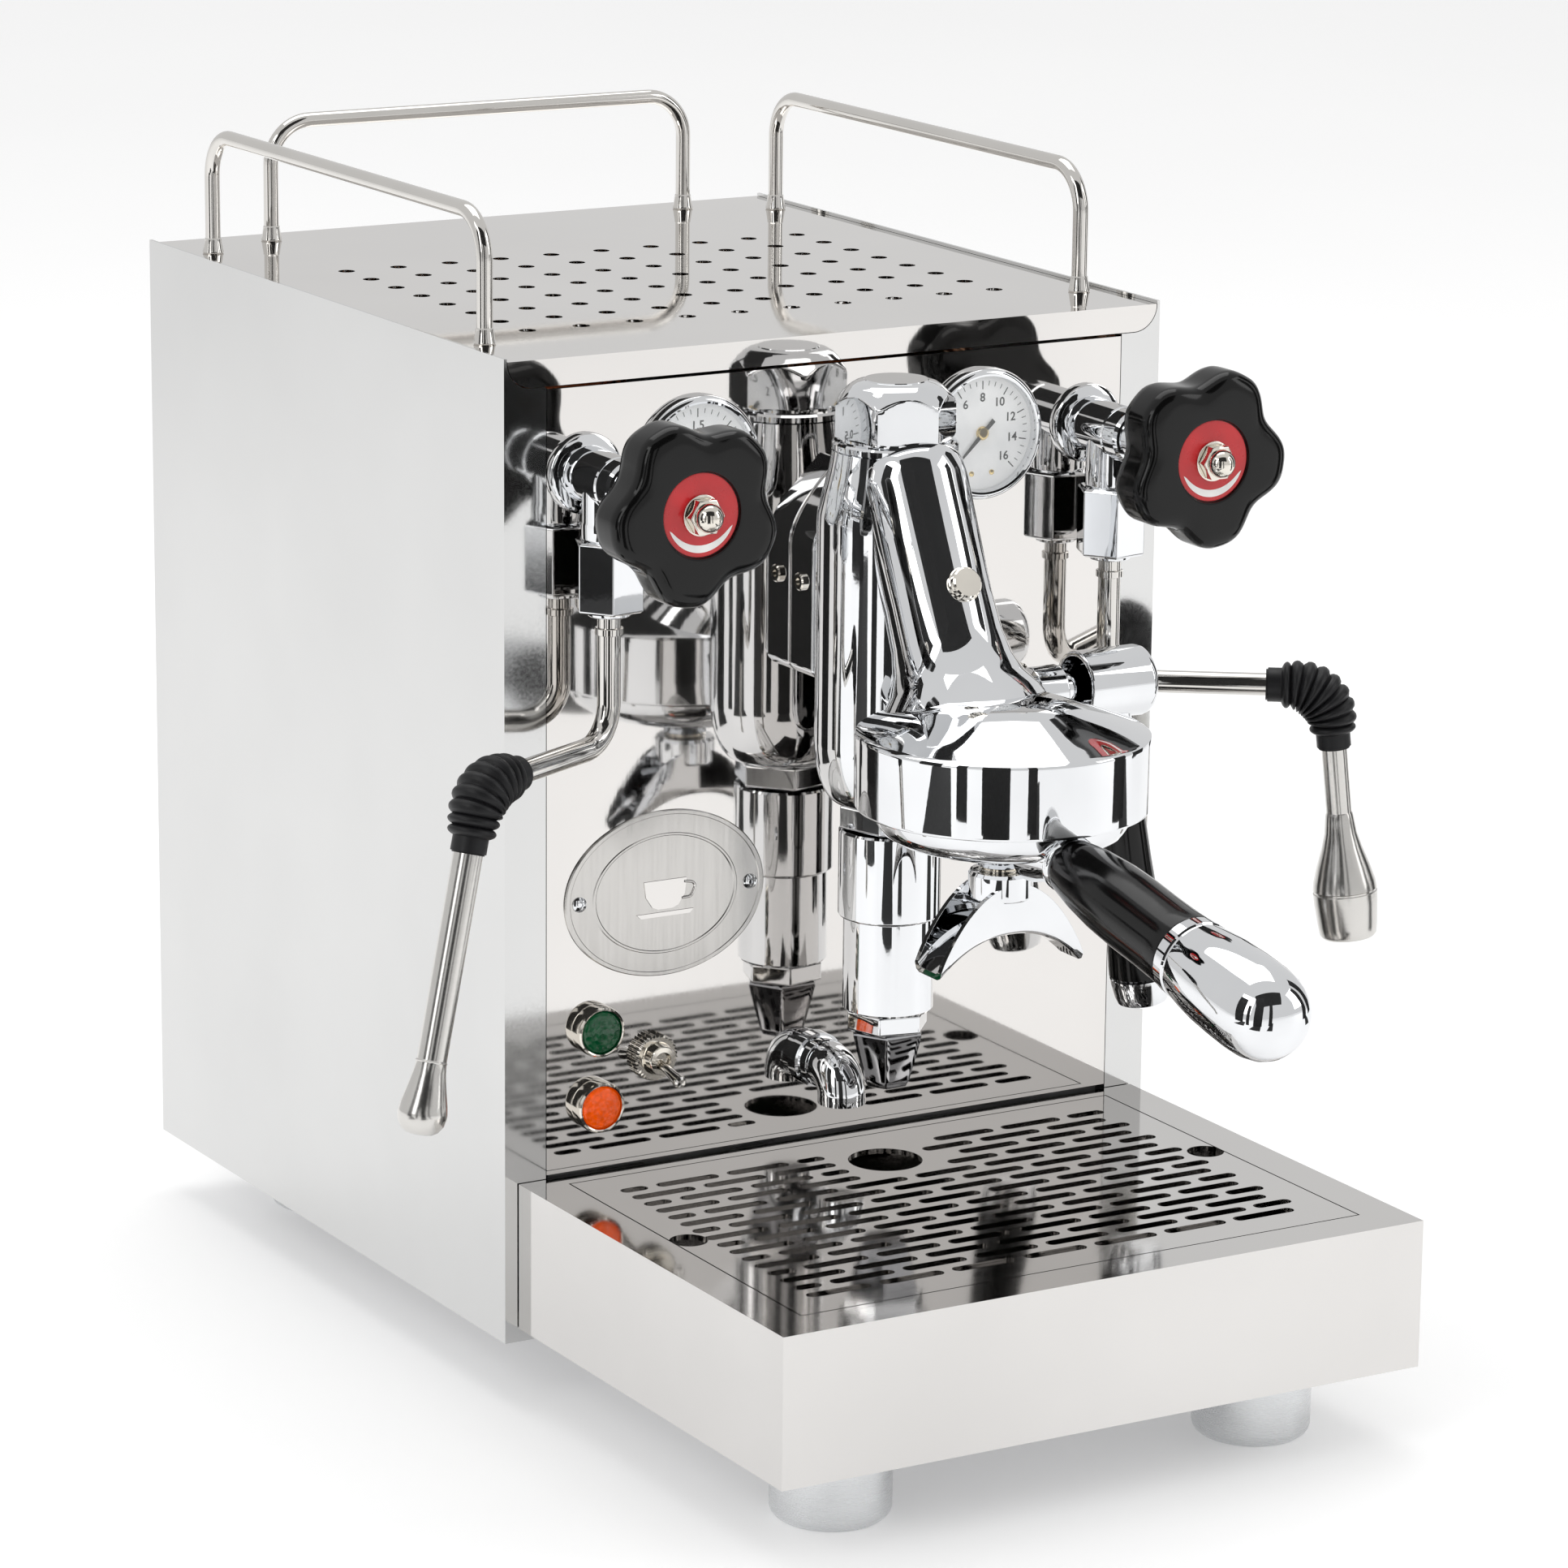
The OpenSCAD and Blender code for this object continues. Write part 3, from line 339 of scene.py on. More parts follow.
def rounded_corner(a, corner, b, radius, steps):
    """Points of an arc that replaces a corner between two straight runs."""
    u, v = (a - corner).normalized(), (b - corner).normalized()
    half = u.angle(v) / 2
    cut = radius / math.tan(half)
    centre = corner + (u + v).normalized() * radius / math.sin(half)
    p, q = corner + u * cut - centre, corner + v * cut - centre
    turn = p.angle(q)
    points = []
    for i in range(steps + 1):
        t = i / steps
        share_p = math.sin((1 - t) * turn) / math.sin(turn)
        share_q = math.sin(t * turn) / math.sin(turn)
        points.append(centre + p * share_p + q * share_q)
    return points


def rounded_path(points, radius, steps):
    """A path through the points with every inner corner rounded."""
    points = [Vector(p) for p in points]
    path = [points[0]]
    for a, corner, b in zip(points, points[1:], points[2:]):
        path += rounded_corner(a, corner, b, radius, steps)
    return path + [points[-1]]


def lengths(path):
    """The distance along the path at each of its points."""
    run = [0.0]
    for a, b in zip(path, path[1:]):
        run.append(run[-1] + (b - a).length)
    return run


def resampled(path, count):
    """The same path with evenly spaced points."""
    run = lengths(path)
    even, k = [], 0
    for i in range(count):
        want = run[-1] * i / (count - 1)
        while k < len(run) - 2 and run[k + 1] < want:
            k += 1
        share = (want - run[k]) / max(run[k + 1] - run[k], 1e-9)
        even.append(path[k].lerp(path[k + 1], min(max(share, 0), 1)))
    return even


def tube_shape(path, radius_at, steps=32):
    """A round tube along a path. radius_at takes the distance along it."""
    run = lengths(path)
    tangent = (path[1] - path[0]).normalized()
    side, _ = across(tangent)
    verts = []
    for i, point in enumerate(path):
        ahead = path[min(i + 1, len(path) - 1)] - path[max(i - 1, 0)]
        turn = tangent.rotation_difference(ahead.normalized())
        side = turn @ side
        tangent = ahead.normalized()
        up = tangent.cross(side)
        r = radius_at(run[i])
        verts += [point + at_angle(side, up, angle) * r for angle in circle(steps)]
    return verts, loft_faces(len(path), steps)


def hexagon_shape(corner_r, start, axis, length, chamfer=1.2, turn=0.0):
    """A hexagon nut's prism with both ends chamfered."""
    axis = Vector(axis).normalized()
    side, up = across(axis)
    verts = []
    ends = [(0, corner_r - chamfer), (chamfer * 0.6, corner_r)]
    ends += [(length - chamfer * 0.6, corner_r), (length, corner_r - chamfer)]
    for along, r in ends:
        for j in range(6):
            angle = math.pi / 3 * j + turn
            verts.append(Vector(start) + axis * along + at_angle(side, up, angle) * r)
    return verts, loft_faces(4, 6)


def nut_shape(apothem, start, axis, length, cone, turn=0.0, steps=120, layers=60):
    """A hexagon cut by the turned outline `cone`, as a lathe cuts a nut's corners."""
    axis = Vector(axis).normalized()
    side, up = across(axis)
    verts = []
    for i in range(layers + 1):
        along = length * i / layers
        k = max(n for n, point in enumerate(cone) if point[0] <= along or n == 0)
        k = min(k, len(cone) - 2)
        (a, ra), (b, rb) = cone[k], cone[k + 1]
        limit = ra + (rb - ra) * min(max((along - a) / (b - a), 0), 1)
        for angle in circle(steps):
            from_flat = (angle + math.pi / 6) % (math.pi / 3) - math.pi / 6
            r = min(apothem / math.cos(from_flat), limit)
            verts.append(Vector(start) + axis * along + at_angle(side, up, angle + turn) * r)
    return verts, loft_faces(layers + 1, steps)


def extruded_shape(outline, start, u, v, depth_axis, depth):
    """A flat outline of (u, v) points pushed along depth_axis."""
    start = Vector(start)
    verts = [start + u * a + v * b for a, b in outline]
    verts += [p + depth_axis * depth for p in verts]
    return verts, loft_faces(2, len(outline))


def dress(nodes, material, bevel=0.0):
    """Gives CAD nodes their material and, if asked, a fine rounded edge."""
    for node in nodes:
        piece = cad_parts[node]
        piece.data.materials.clear()
        piece.data.materials.append(material)
        if bevel:
            round_edges(piece, bevel, 2, 50)
            weigh_normals(piece, 50)


# ---- Cabinet, cup tray and drip tray: the CAD sheets with their finish ----

dress(["splash_panel"], mirror_steel, 0.35)
dress(["side_panel_left", "side_panel_right"], side_steel, 0.35)
dress(["top_cover"], mirror_steel)
dress(["drip_tray"], tray_steel, 0.45)
dress(["drip_grate"], tray_steel)
dress(["back_panel", "base_frame", "boiler_bracket"], plain_steel)
dress(["boiler_shell", "heat_exchanger", "boiler_pipes", "heating_element"], copper)
dress(["boiler_flange"], brass)
dress(["flange_bolts", "filter_basket", "shower_screen"], tube_steel)
dress(["pump"], pump_paint)
dress(["water_tank"], tank_plastic)
dress(["control_box", "power_inlet"], dark_plastic)
dress(["steam_seat", "water_seat"], ptfe)

# Screws that hold the back panel
back_y = hi("back_panel").y
back_screws = []
for sx in (-1, 1):
    for share in (0.04, 0.5, 0.96):
        height = lo("back_panel").z + share * (hi("back_panel").z - lo("back_panel").z)
        back_screws.append(turned_shape(
            [(0, 3.6), (0.8, 3.6), (1.8, 2.6), (2.2, 1.2), (1.2, 1.0)],
            (sx * (hi("back_panel").x - 7), back_y, height), Y, 24,
        ))
finished("back_screws", *joined(*back_screws), nickel, "cabinet", slot="nickel")

# ---- Cup rails ----

TUBE_R = 3.0
RAIL_BEND = 17.0


def rail(name, posts):
    """A rail bent from one tube, on two posts with a collar each."""
    top = hi(name).z - TUBE_R
    foot = lo(name).z
    a, b = [Vector(p) for p in posts]
    path = rounded_path(
        [a + Z * foot, a + Z * top, b + Z * top, b + Z * foot], RAIL_BEND, 14
    )
    shapes = [tube_shape(path, lambda _: TUBE_R, 28)]
    for post in (a, b):
        collar = [(0, TUBE_R + 0.9), (0.5, TUBE_R + 1.2), (1.4, TUBE_R + 0.9),
                  (4.8, TUBE_R + 0.35), (5.6, TUBE_R + 0.3), (6, TUBE_R)]
        shapes.append(turned_shape(collar, post + Z * foot, Z, 28))
    finished(name + "_tube", *joined(*shapes), tube_steel, "cover", (name,), "steel_tube")


for name in ("rail_left", "rail_right"):
    x = mid(name).x
    front, back = lo(name).y + TUBE_R + 0.5, hi(name).y - TUBE_R - 0.5
    rail(name, [(x, front, 0), (x, back, 0)])
half = hi("rail_back").x - TUBE_R - 0.5
rail("rail_back", [(-half, mid("rail_back").y, 0), (half, mid("rail_back").y, 0)])

# ---- Feet ----

FOOT_R = 22.0
foot_bottom = lo("feet").z
h = hi("feet").z - foot_bottom
profile = [(0, FOOT_R - 3.4), (0.2, FOOT_R - 2.6), (1.4, FOOT_R - 1.2), (2.6, FOOT_R - 0.4),
           (4, FOOT_R), (h - 8.2, FOOT_R), (h - 7.6, FOOT_R - 0.6), (h - 7, FOOT_R), (h, FOOT_R)]
feet = []
for sx in (-1, 1):
    for y in (lo("feet").y + FOOT_R, hi("feet").y - FOOT_R):
        feet.append(turned_shape(profile, (sx * (hi("feet").x - FOOT_R), y, foot_bottom), Z, 96))
finished("turned_feet", *joined(*feet), aluminium, "cabinet", ("feet",), "aluminium")

# ---- Gauges ----

GAUGE_R = 25.0
DIAL_R = 21.6
DIAL_FRONT = -0.8
SCALE_START, SCALE_SWEEP = 225, 270  # degrees from the x axis, and clockwise from there
TICK_END = 19.8
NUMBER_R = 13.4
NUMBER_SIZE = 4.6


def dial_print(name, x, z, top_value, step, labels):
    """Ticks over the scale, and the numbers beside every labelled one."""
    shapes = []
    ticks = round(top_value / step)
    y = DIAL_FRONT
    for i in range(ticks + 1):
        angle = math.radians(SCALE_START - SCALE_SWEEP * i / ticks)
        long = i * step in labels
        out = Vector((math.cos(angle), 0, math.sin(angle)))
        along = Vector((-math.sin(angle), 0, math.cos(angle)))
        width, inner = (0.42, 16.6) if long else (0.24, 18.0)
        near = Vector((x, y, z)) + out * inner
        end = Vector((x, y, z)) + out * TICK_END
        corners = [near - along * width / 2, near + along * width / 2,
                   end + along * width / 2, end - along * width / 2]
        verts = corners + [c + FORWARD * 0.08 for c in corners]
        shapes.append((verts, loft_faces(2, 4)))
    finished(name, *joined(*shapes), black_print, "cabinet", slot="black_paint")
    for value in labels:
        angle = math.radians(SCALE_START - SCALE_SWEEP * value / top_value)
        text = bpy.data.curves.new(f"{name}_{value}", "FONT")
        text.body = f"{value:g}"
        text.size = NUMBER_SIZE * MM
        text.offset = 0.06 * MM
        text.extrude = 0.04 * MM
        text.align_x, text.align_y = "CENTER", "CENTER"
        label = added(f"{name}_{value}".replace(".", "_"), text)
        label.matrix_world = Matrix.Translation(
            place(x + NUMBER_R * math.cos(angle), y - 0.08, z + NUMBER_R * math.sin(angle))
        ) @ Matrix.Rotation(math.radians(90), 4, "X")
        text.materials.append(black_print)
        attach(label, "cabinet")


gauge_z = mid("gauge_cases").z
gauge_x = hi("gauge_cases").x - GAUGE_R
bezels, dials, glasses, screws = [], [], [], []
for x in (-gauge_x, gauge_x):
    front = (x, 0, gauge_z)
    bezels.append(turned_shape(
        [(0, GAUGE_R - 0.4), (0.6, GAUGE_R), (2.6, GAUGE_R), (3.6, GAUGE_R - 0.5),
         (4.3, GAUGE_R - 1.4), (4.5, GAUGE_R - 2.2), (4.2, GAUGE_R - 3.0), (3.2, GAUGE_R - 3.3),
         (0.1, GAUGE_R - 3.4)],
        front, FORWARD, 128,
    ))
    dials.append(turned_shape([(0.1, DIAL_R), (0.7, DIAL_R), (0.8, 21.2)], front, FORWARD, 96))
    pane = [(3.0, 21.7), (3.5, 21.7), (3.7, 16), (3.8, 8), (3.8, 0.01)]
    glasses.append(turned_shape(pane, front, FORWARD, 96))
    for dx in (-4.4, 4.4):
        head = [(0.7, 1.0), (1.2, 1.0), (1.4, 0.6)]
        screws.append(turned_shape(head, (x + dx, 0, gauge_z - 15.2), FORWARD, 20))
finished("gauge_bezels", *joined(*bezels), chrome, "cabinet", ("gauge_cases",), "chrome_plate")
finished("gauge_faces", *joined(*dials), dial_white_painted_glow, "cabinet", ("gauge_dials",), "white_dial")
finished("gauge_windows", *joined(*glasses), glass, "cabinet", ("gauge_glasses",), "clear_glass")
finished("gauge_face_screws", *joined(*screws), brass, "cabinet", slot="brass")
dial_print("boiler_scale", -gauge_x, gauge_z, 3, 0.1, [0, 0.5, 1, 1.5, 2, 2.5, 3])
dial_print("pump_scale", gauge_x, gauge_z, 16, 0.5, [0, 2, 4, 6, 8, 10, 12, 14, 16])


def needle(name, node, body, x):
    """A black pointer at the start of the scale, with a tail, on a brass hub."""
    angle = math.radians(SCALE_START)
    out = Vector((math.cos(angle), 0, math.sin(angle)))
    along = Vector((-math.sin(angle), 0, math.cos(angle)))
    centre = Vector((x, -1.5, gauge_z))
    outline = [(-6.5, -0.9), (-6.5, 0.9), (-1.5, 0.7), (3, 0.75), (15.5, 0.22), (16, 0),
               (15.5, -0.22), (3, -0.75), (-1.5, -0.7)]
    finished(name, *extruded_shape(outline, centre, out, along, FORWARD, 0.4), black_print, body,
             (node,), "black_paint")
    hub = [(0.9, 2.6), (1.6, 2.6), (2.1, 2.1), (2.3, 1.2)]
    lathe(name + "_hub", hub, (x, 0, gauge_z), FORWARD, brass, body, 48, slot="brass")


needle("boiler_pointer", "needle_left", "left_needle", -gauge_x)
needle("pump_pointer", "needle_right", "right_needle", gauge_x)

# ---- Oval badge: borders and a plain cup ----

badge = mid("badge_plate")
badge_rx = (hi("badge_plate").x - lo("badge_plate").x) / 2
badge_rz = (hi("badge_plate").z - lo("badge_plate").z) / 2


def oval(angle):
    """Radius factor of the badge's ellipse, relative to its half width."""
    ratio = badge_rz / badge_rx
    return ratio / math.sqrt((ratio * math.cos(angle)) ** 2 + math.sin(angle) ** 2)


badge_profile = [(0, badge_rx), (0.5, badge_rx), (0.9, badge_rx - 0.5), (0.9, badge_rx - 2.0),
                 (0.65, badge_rx - 2.3), (0.65, badge_rx - 11.4), (0.95, badge_rx - 11.8),
                 (0.95, badge_rx - 12.6), (0.65, badge_rx - 13.0), (0.6, 0.01)]
lathe("badge_oval", badge_profile, (badge.x, 0, badge.z), FORWARD, badge_steel, "cabinet", 160,
      oval, replaces=("badge_plate",), slot="polished_steel", sharp=20)
rivets = [turned_shape([(0.4, 2.9), (1.2, 2.8), (1.7, 2.1), (1.9, 1.0), (1.4, 0.8)],
                       (badge.x + sx * (badge_rx - 6), 0, badge.z), FORWARD, 32) for sx in (-1, 1)]
finished("badge_rivets", *joined(*rivets), chrome, "cabinet", slot="chrome_plate")
cup = [(-9, 5), (-8.2, -1), (-5.5, -5), (-3, -6), (3, -6), (5.5, -5), (8.2, -1), (9, 5)]
saucer = [(-12, -7.2), (12, -7.2), (10.4, -8.8), (-10.4, -8.8)]
handle = tube_shape(
    rounded_path([(badge.x + 8, -0.7, badge.z + 3.6), (badge.x + 13.5, -0.7, badge.z + 2.6),
                  (badge.x + 11, -0.7, badge.z - 2.6), (badge.x + 7, -0.7, badge.z - 2.6)], 2, 6),
    lambda _: 0.55, 12)
relief = [extruded_shape(cup, (badge.x, -0.6, badge.z), X, Z, FORWARD, 0.35),
          extruded_shape(saucer, (badge.x, -0.6, badge.z), X, Z, FORWARD, 0.35), handle]
finished("badge_cup", *joined(*relief), mirror_steel, "cabinet", slot="polished_steel")

# ---- Lamps, switch and drain outlet ----


def lamp(name, node, material):
    x, z = mid(node).x, mid(node).z
    r = hi(node).z - z
    bezel = [(0, r - 0.2), (0.4, r), (4.4, r), (5.5, r - 0.3), (6, r - 0.9), (5.8, r - 1.4),
             (4.8, r - 1.6), (1, r - 1.6)]
    finished(name + "_bezel", *turned_shape(bezel, (x, 0, z), FORWARD, 72), nickel, "cabinet",
             slot="nickel")
    dome = [(1.2, r - 1.6), (4.9, r - 1.6), (5.8, r - 2.3), (6.4, r - 3.4), (6.1, r - 4.4),
            (6.8, 4.2), (6.5, 3.1), (7.1, 2), (7, 0.01)]
    finished(name + "_lens", *turned_shape(dome, (x, 0, z), FORWARD, 72), material, "cabinet",
             (node,), "green_lens" if node == "lamp_green" else "orange_lens", sharp=60)


lamp("heater_lamp", "lamp_green", green_lens)
lamp("water_lamp", "lamp_orange", orange_lens)


def knurl(angle):
    return 1 - 0.06 * (0.5 + 0.5 * math.cos(36 * angle))


switch = mid("switch_body")
ring_r = hi("switch_body").z - switch.z
switch_at = (switch.x, 0, switch.z)
lathe("switch_ring", [(0, ring_r - 0.6), (0.5, ring_r), (3.6, ring_r), (4.2, ring_r - 0.8)],
      switch_at, FORWARD, nickel, "cabinet", 216, knurl, replaces=("switch_body",), slot="nickel")
collar = [(4.2, 6.4), (5, 6), (8.2, 5.6), (8.9, 5.1), (9.0, 3.4), (8, 2.9), (7, 2.8)]
lathe("switch_collar", collar, switch_at, FORWARD, nickel, "cabinet", 48, slot="nickel")
TOGGLE_TILT = math.radians(13)
bat = [(0, 3.0), (6, 1.5), (16, 1.9), (20, 2.5), (21.5, 2.4), (22.3, 1.6), (22.5, 0.01)]
lathe("toggle_bat", bat, (switch.x, -1, switch.z), Matrix.Rotation(TOGGLE_TILT, 3, "X") @ FORWARD,
      tube_steel, "toggle", 40, replaces=("switch_toggle",), slot="chrome_plate")

OUTLET_R = 9.0
flange_r = (hi("drain_outlet").x - lo("drain_outlet").x) / 2
outlet = Vector((mid("drain_outlet").x, 0, hi("drain_outlet").z - flange_r))
outlet_end = outlet + FORWARD * (-lo("drain_outlet").y - OUTLET_R)
outlet_path = rounded_path([outlet, outlet_end, outlet_end - Z * 12], OUTLET_R + 0.6, 14)


def outlet_r(along):
    if along < 3:
        return flange_r
    if along < 8.6:
        return OUTLET_R + 0.4
    if along < 10:
        return OUTLET_R - 0.8
    return OUTLET_R


outlet_even = resampled(outlet_path, 90)
finished("drain_elbow", *joined(tube_shape(outlet_even, outlet_r, 56)), chrome, "cabinet",
         ("drain_outlet",), "chrome_plate", sharp=40)

# Nipple that the lever presses
pin = Vector((mid("lever_stop_pin").x, 0, mid("lever_stop_pin").z))
pin_parts = [hexagon_shape(6.1, pin, FORWARD, 7),
             hexagon_shape(6.1, pin + FORWARD * 7.4, FORWARD, 6.6),
             turned_shape([(13.8, 5.2), (17, 5.2), (18, 4.6), (22, 4.6), (22.6, 4), (22.7, 2.4),
                           (33.4, 2.4), (34, 1.8)], pin, FORWARD, 48)]
finished("stop_pin_fitting", *joined(*pin_parts), nickel, "cabinet", ("lever_stop_pin",), "nickel")

# ---- Brewing group ----

bell = Vector((0, lo("shower_screen").y + (hi("shower_screen").y - lo("shower_screen").y) / 2, 0))
bell_bottom, bell_r = lo("group_body").z + 15, 53.25
barrel = Vector((0, mid("preinfusion_chamber").y, 0))
barrel_bottom, barrel_top, barrel_r = lo("group_body").z, hi("group_body").z, 28.5

barrel_profile = [(0, 19)]
for i in range(1, 13):
    t = math.pi / 2 * i / 12
    barrel_profile.append((24 * (1 - math.cos(t)), 19 + (barrel_r - 19) * math.sin(t)))
barrel_profile += [(104, barrel_r), (109, barrel_r - 0.4), (116, barrel_r - 2), (124, barrel_r - 4),
                   (129, 23.6), (132, 23.2)]
lathe("group_barrel", barrel_profile, barrel + Z * barrel_bottom, Z, chrome, "cabinet", 128,
      replaces=("group_body",), slot="chrome_plate", sharp=50)

# The arm of the group slants down to the bell and widens into it
neck_top = Vector((0, barrel.y - 6, barrel_top - 1))
neck_end = Vector((0, bell.y + 30, bell_bottom + 34))
neck_axis = (neck_end - neck_top).normalized()
neck_len = (neck_end - neck_top).length
neck_profile = [(-1.5, 0.01), (-1.2, 8), (0, 15), (2.5, 18.8), (6, 20.4), (12, 21.0),
                (neck_len * 0.4, 20.4), (neck_len * 0.62, 20.0), (neck_len * 0.78, 20.6),
                (neck_len * 0.88, 22.4), (neck_len * 0.96, 25.6), (neck_len * 1.03, 30),
                (neck_len * 1.12, 33)]
lathe("group_neck", neck_profile, neck_top, neck_axis, chrome, "cabinet", 112,
      slot="chrome_plate", sharp=60)
neck_normal = neck_axis.cross(X).normalized()
if neck_normal.y > 0:
    neck_normal = -neck_normal
screw_at = neck_top + neck_axis * neck_len * 0.6 + neck_normal * 19.4
head = [(-1, 6.4), (1.2, 6.4), (1.6, 6.0), (3.4, 5.8), (4.0, 5.2), (4.0, 3.1)]
screw = [turned_shape(head, screw_at, neck_normal, 48),
         hexagon_shape(2.9, screw_at + neck_normal * 3.2, neck_normal, 0.6, 0.2)]
finished("neck_screw", *joined(*screw), nickel, "cabinet", slot="nickel")

bell_profile = [(18, 0.01), (18, 37.2), (1.6, 37.2), (0.5, 37.8), (0, 39), (0, 51.2), (0.5, 52.6),
                (1.6, bell_r), (26.2, bell_r), (27.4, 52.8), (28.0, 51.8), (28.3, 50.6),
                (30.2, 45.6), (32.4, 39.6), (34.6, 33.6), (37, 27), (39, 21), (40, 12),
                (40.2, 0.01)]
lathe("group_bell", bell_profile, bell + Z * bell_bottom, Z, chrome, "cabinet", 144,
      slot="chrome_plate", sharp=38)

# The block that ties the group to the cabinet: a pointed arch in two halves
block_bottom, block_top, block_w = bell_bottom + 28, barrel_top - 10, 21.0


def arch(width, bottom, top, shrink):
    w = width - shrink
    spring = top - 30
    side_steps = 12
    outline = [(-w + 3, bottom + shrink), (w - 3, bottom + shrink), (w, bottom + shrink + 3)]
    for i in range(side_steps + 1):
        t = i / side_steps
        outline.append((w * (1 - t**1.7), spring + (top - shrink - spring) * t))
    for i in reversed(range(side_steps)):
        t = i / side_steps
        outline.append((-w * (1 - t**1.7), spring + (top - shrink - spring) * t))
    outline.append((-w, bottom + shrink + 3))
    return outline


block = []
for shrink, y, depth in [(0, -0.2, 16.6), (0.8, -17.4, 20.6), (2.0, -16, 2)]:
    outline = arch(block_w, block_bottom, block_top, shrink)
    block.append(extruded_shape(outline, (0, y, 0), X, Z, FORWARD, depth))
finished("group_block", *joined(*block), chrome, "cabinet", slot="chrome_plate", bevel=1.1)
ribs = []
for sx in (-1, 1):
    pad = [(-27, block_bottom + 16), (-36, block_bottom + 16), (-36, block_top - 30),
           (-30, block_top - 22), (-21, block_top - 30), (-21, block_bottom + 22)]
    pad = pad if sx > 0 else list(reversed(pad))
    ribs.append(extruded_shape(pad, (sx * (block_w - 1.2), 0, 0), Y, Z, X * sx, 1.8))
finished("group_block_pads", *joined(*ribs), chrome, "cabinet", slot="chrome_plate", bevel=0.8)
bolts = [turned_shape([(0, 3.4), (1.4, 3.4), (1.9, 2.8), (1.9, 1.4), (1.2, 1.4)],
                      (sx * (block_w - 0.2), -8.5, block_bottom + 36), X * sx, 32)
         for sx in (-1, 1)]
finished("group_block_bolts", *joined(*bolts), nickel, "cabinet", slot="nickel")

# Cap nut
nut_z = lo("group_cap_nut").z
nut_depth = hi("group_cap_nut").z - nut_z
NUT_TURN = math.radians(12)
cone = [(0, 21.8), (0.8, 22.6), (12, 22.6), (13.4, 22.1), (17.4, 18.9), (19.4, 16.8), (20.6, 14.6),
        (21.3, 11.6)]
nut = nut_shape(19.5, barrel + Z * (nut_z + 4.4), Z, nut_depth - 4.4, cone, NUT_TURN)
ring = [(0, 22.6), (0.6, 23.2), (2.6, 23.2), (3.4, 22.4), (3.8, 20.6), (4.8, 20.6)]
finished("cap_nut_hex", *nut, chrome, "cabinet", ("group_cap_nut",), "chrome_plate", sharp=24)
lathe("cap_nut_ring", ring, barrel + Z * nut_z, Z, chrome, "cabinet", slot="chrome_plate")

# Pre-infusion chamber below the barrel
foot = barrel + Z * barrel_bottom
chamber = [turned_shape([(10, 18.4), (10.8, 19), (42.2, 19), (43, 18.5), (43.3, 17.2), (43.8, 16.9),
                         (78.2, 16.9), (79, 16.2), (79.2, 14)], foot, -Z, 96),
           turned_shape([(-0.6, 17), (0.4, 17.6), (1, 17)], foot, -Z, 72)]
finished("chamber_tube", *joined(*chamber), chrome, "cabinet", ("preinfusion_chamber",),
         "chrome_plate")
finished("chamber_nuts", *joined(
    hexagon_shape(19.7, foot, -Z, 9.6, 1.4, NUT_TURN),
    hexagon_shape(15.7, foot - Z * 79, -Z, 8, 1.2, NUT_TURN),
), chrome, "cabinet", slot="chrome_plate", bevel=0.5)


def flutes(angle):
    return 1 - 0.13 * abs(math.sin(3 * angle)) ** 0.7


tip = [(87, 14.2), (88.5, 14.6), (96, 12.6), (106, 9.6), (108.6, 8.2), (109.5, 6)]
lathe("chamber_tip", tip, foot, -Z, dark_chrome, "cabinet", 120, flutes, slot="chrome_plate",
      sharp=60)

# Boss and gland of the lever's shaft
lever_z = hi("brew_lever").z - 13.5
shaft = Vector((0, barrel.y - 6, lever_z))
boss = [(20, 13.5), (37, 13.5), (39.2, 12.6), (40, 11)]
lathe("lever_boss", boss, shaft, X, chrome, "cabinet", 72, slot="chrome_plate")
finished("lever_gland", *hexagon_shape(12.7, shaft + X * 40.2, X, 8.6, 1.2, 0.2), nickel,
         "cabinet", slot="nickel", bevel=0.3)

# ---- Lever ----

hub_left, hub_right = 76.0, 106.0
hood = [(94, 0.01), (94, 11.2), (hub_left + 1, 11.3), (hub_left + 0.2, 11.7), (hub_left, 12.5),
        (hub_left + 0.3, 13.2), (hub_left + 1, 13.5), (hub_right - 3.4, 13.5),
        (hub_right - 1.4, 12.9), (hub_right - 0.3, 11.6), (hub_right, 10), (hub_right, 0.01)]
LEVER_LEAN = math.radians(8.5)
lever_start = shaft + X * (hub_left + 15)
lever_dir = Vector((math.sin(LEVER_LEAN), 0, -math.cos(LEVER_LEAN)))
arm_verts = []
stations, sides = 14, 28
for i in range(stations + 1):
    t = i / stations
    half_y, half_x = 9.5 - 3.6 * t, 5.6 - 0.6 * t + 1.2 * t * t
    for angle in circle(sides):
        c, s = math.cos(angle), math.sin(angle)
        sx = math.copysign(abs(c) ** 0.7, c) * half_x
        sy = math.copysign(abs(s) ** 0.7, s) * half_y
        arm_verts.append(lever_start + lever_dir * (4 + 46.5 * t) + X * sx + Y * sy)
arm = (arm_verts, loft_faces(stations + 1, sides))
cam = turned_shape([(56, 9.3), (56.6, 9.5), (67.4, 9.5), (68, 9.3)], shaft, X, 64)
rod = turned_shape([(46, 6), (hub_left + 18.5, 6)], shaft, X, 48)
finished("lever_casting", *joined(turned_shape(hood, shaft, X, 96), arm, cam, rod), chrome, "lever",
         ("brew_lever",), "chrome_plate", sharp=42)
grip = [(50, 6.8), (50.4, 7.8), (52, 8.4), (70, 9.1), (95, 10.6), (112, 11.6), (115.4, 11.7),
        (116.2, 11.1)]
lathe("lever_handle", grip, lever_start, lever_dir, bakelite, "lever", 72, replaces=("lever_grip",),
      slot="black_knob")
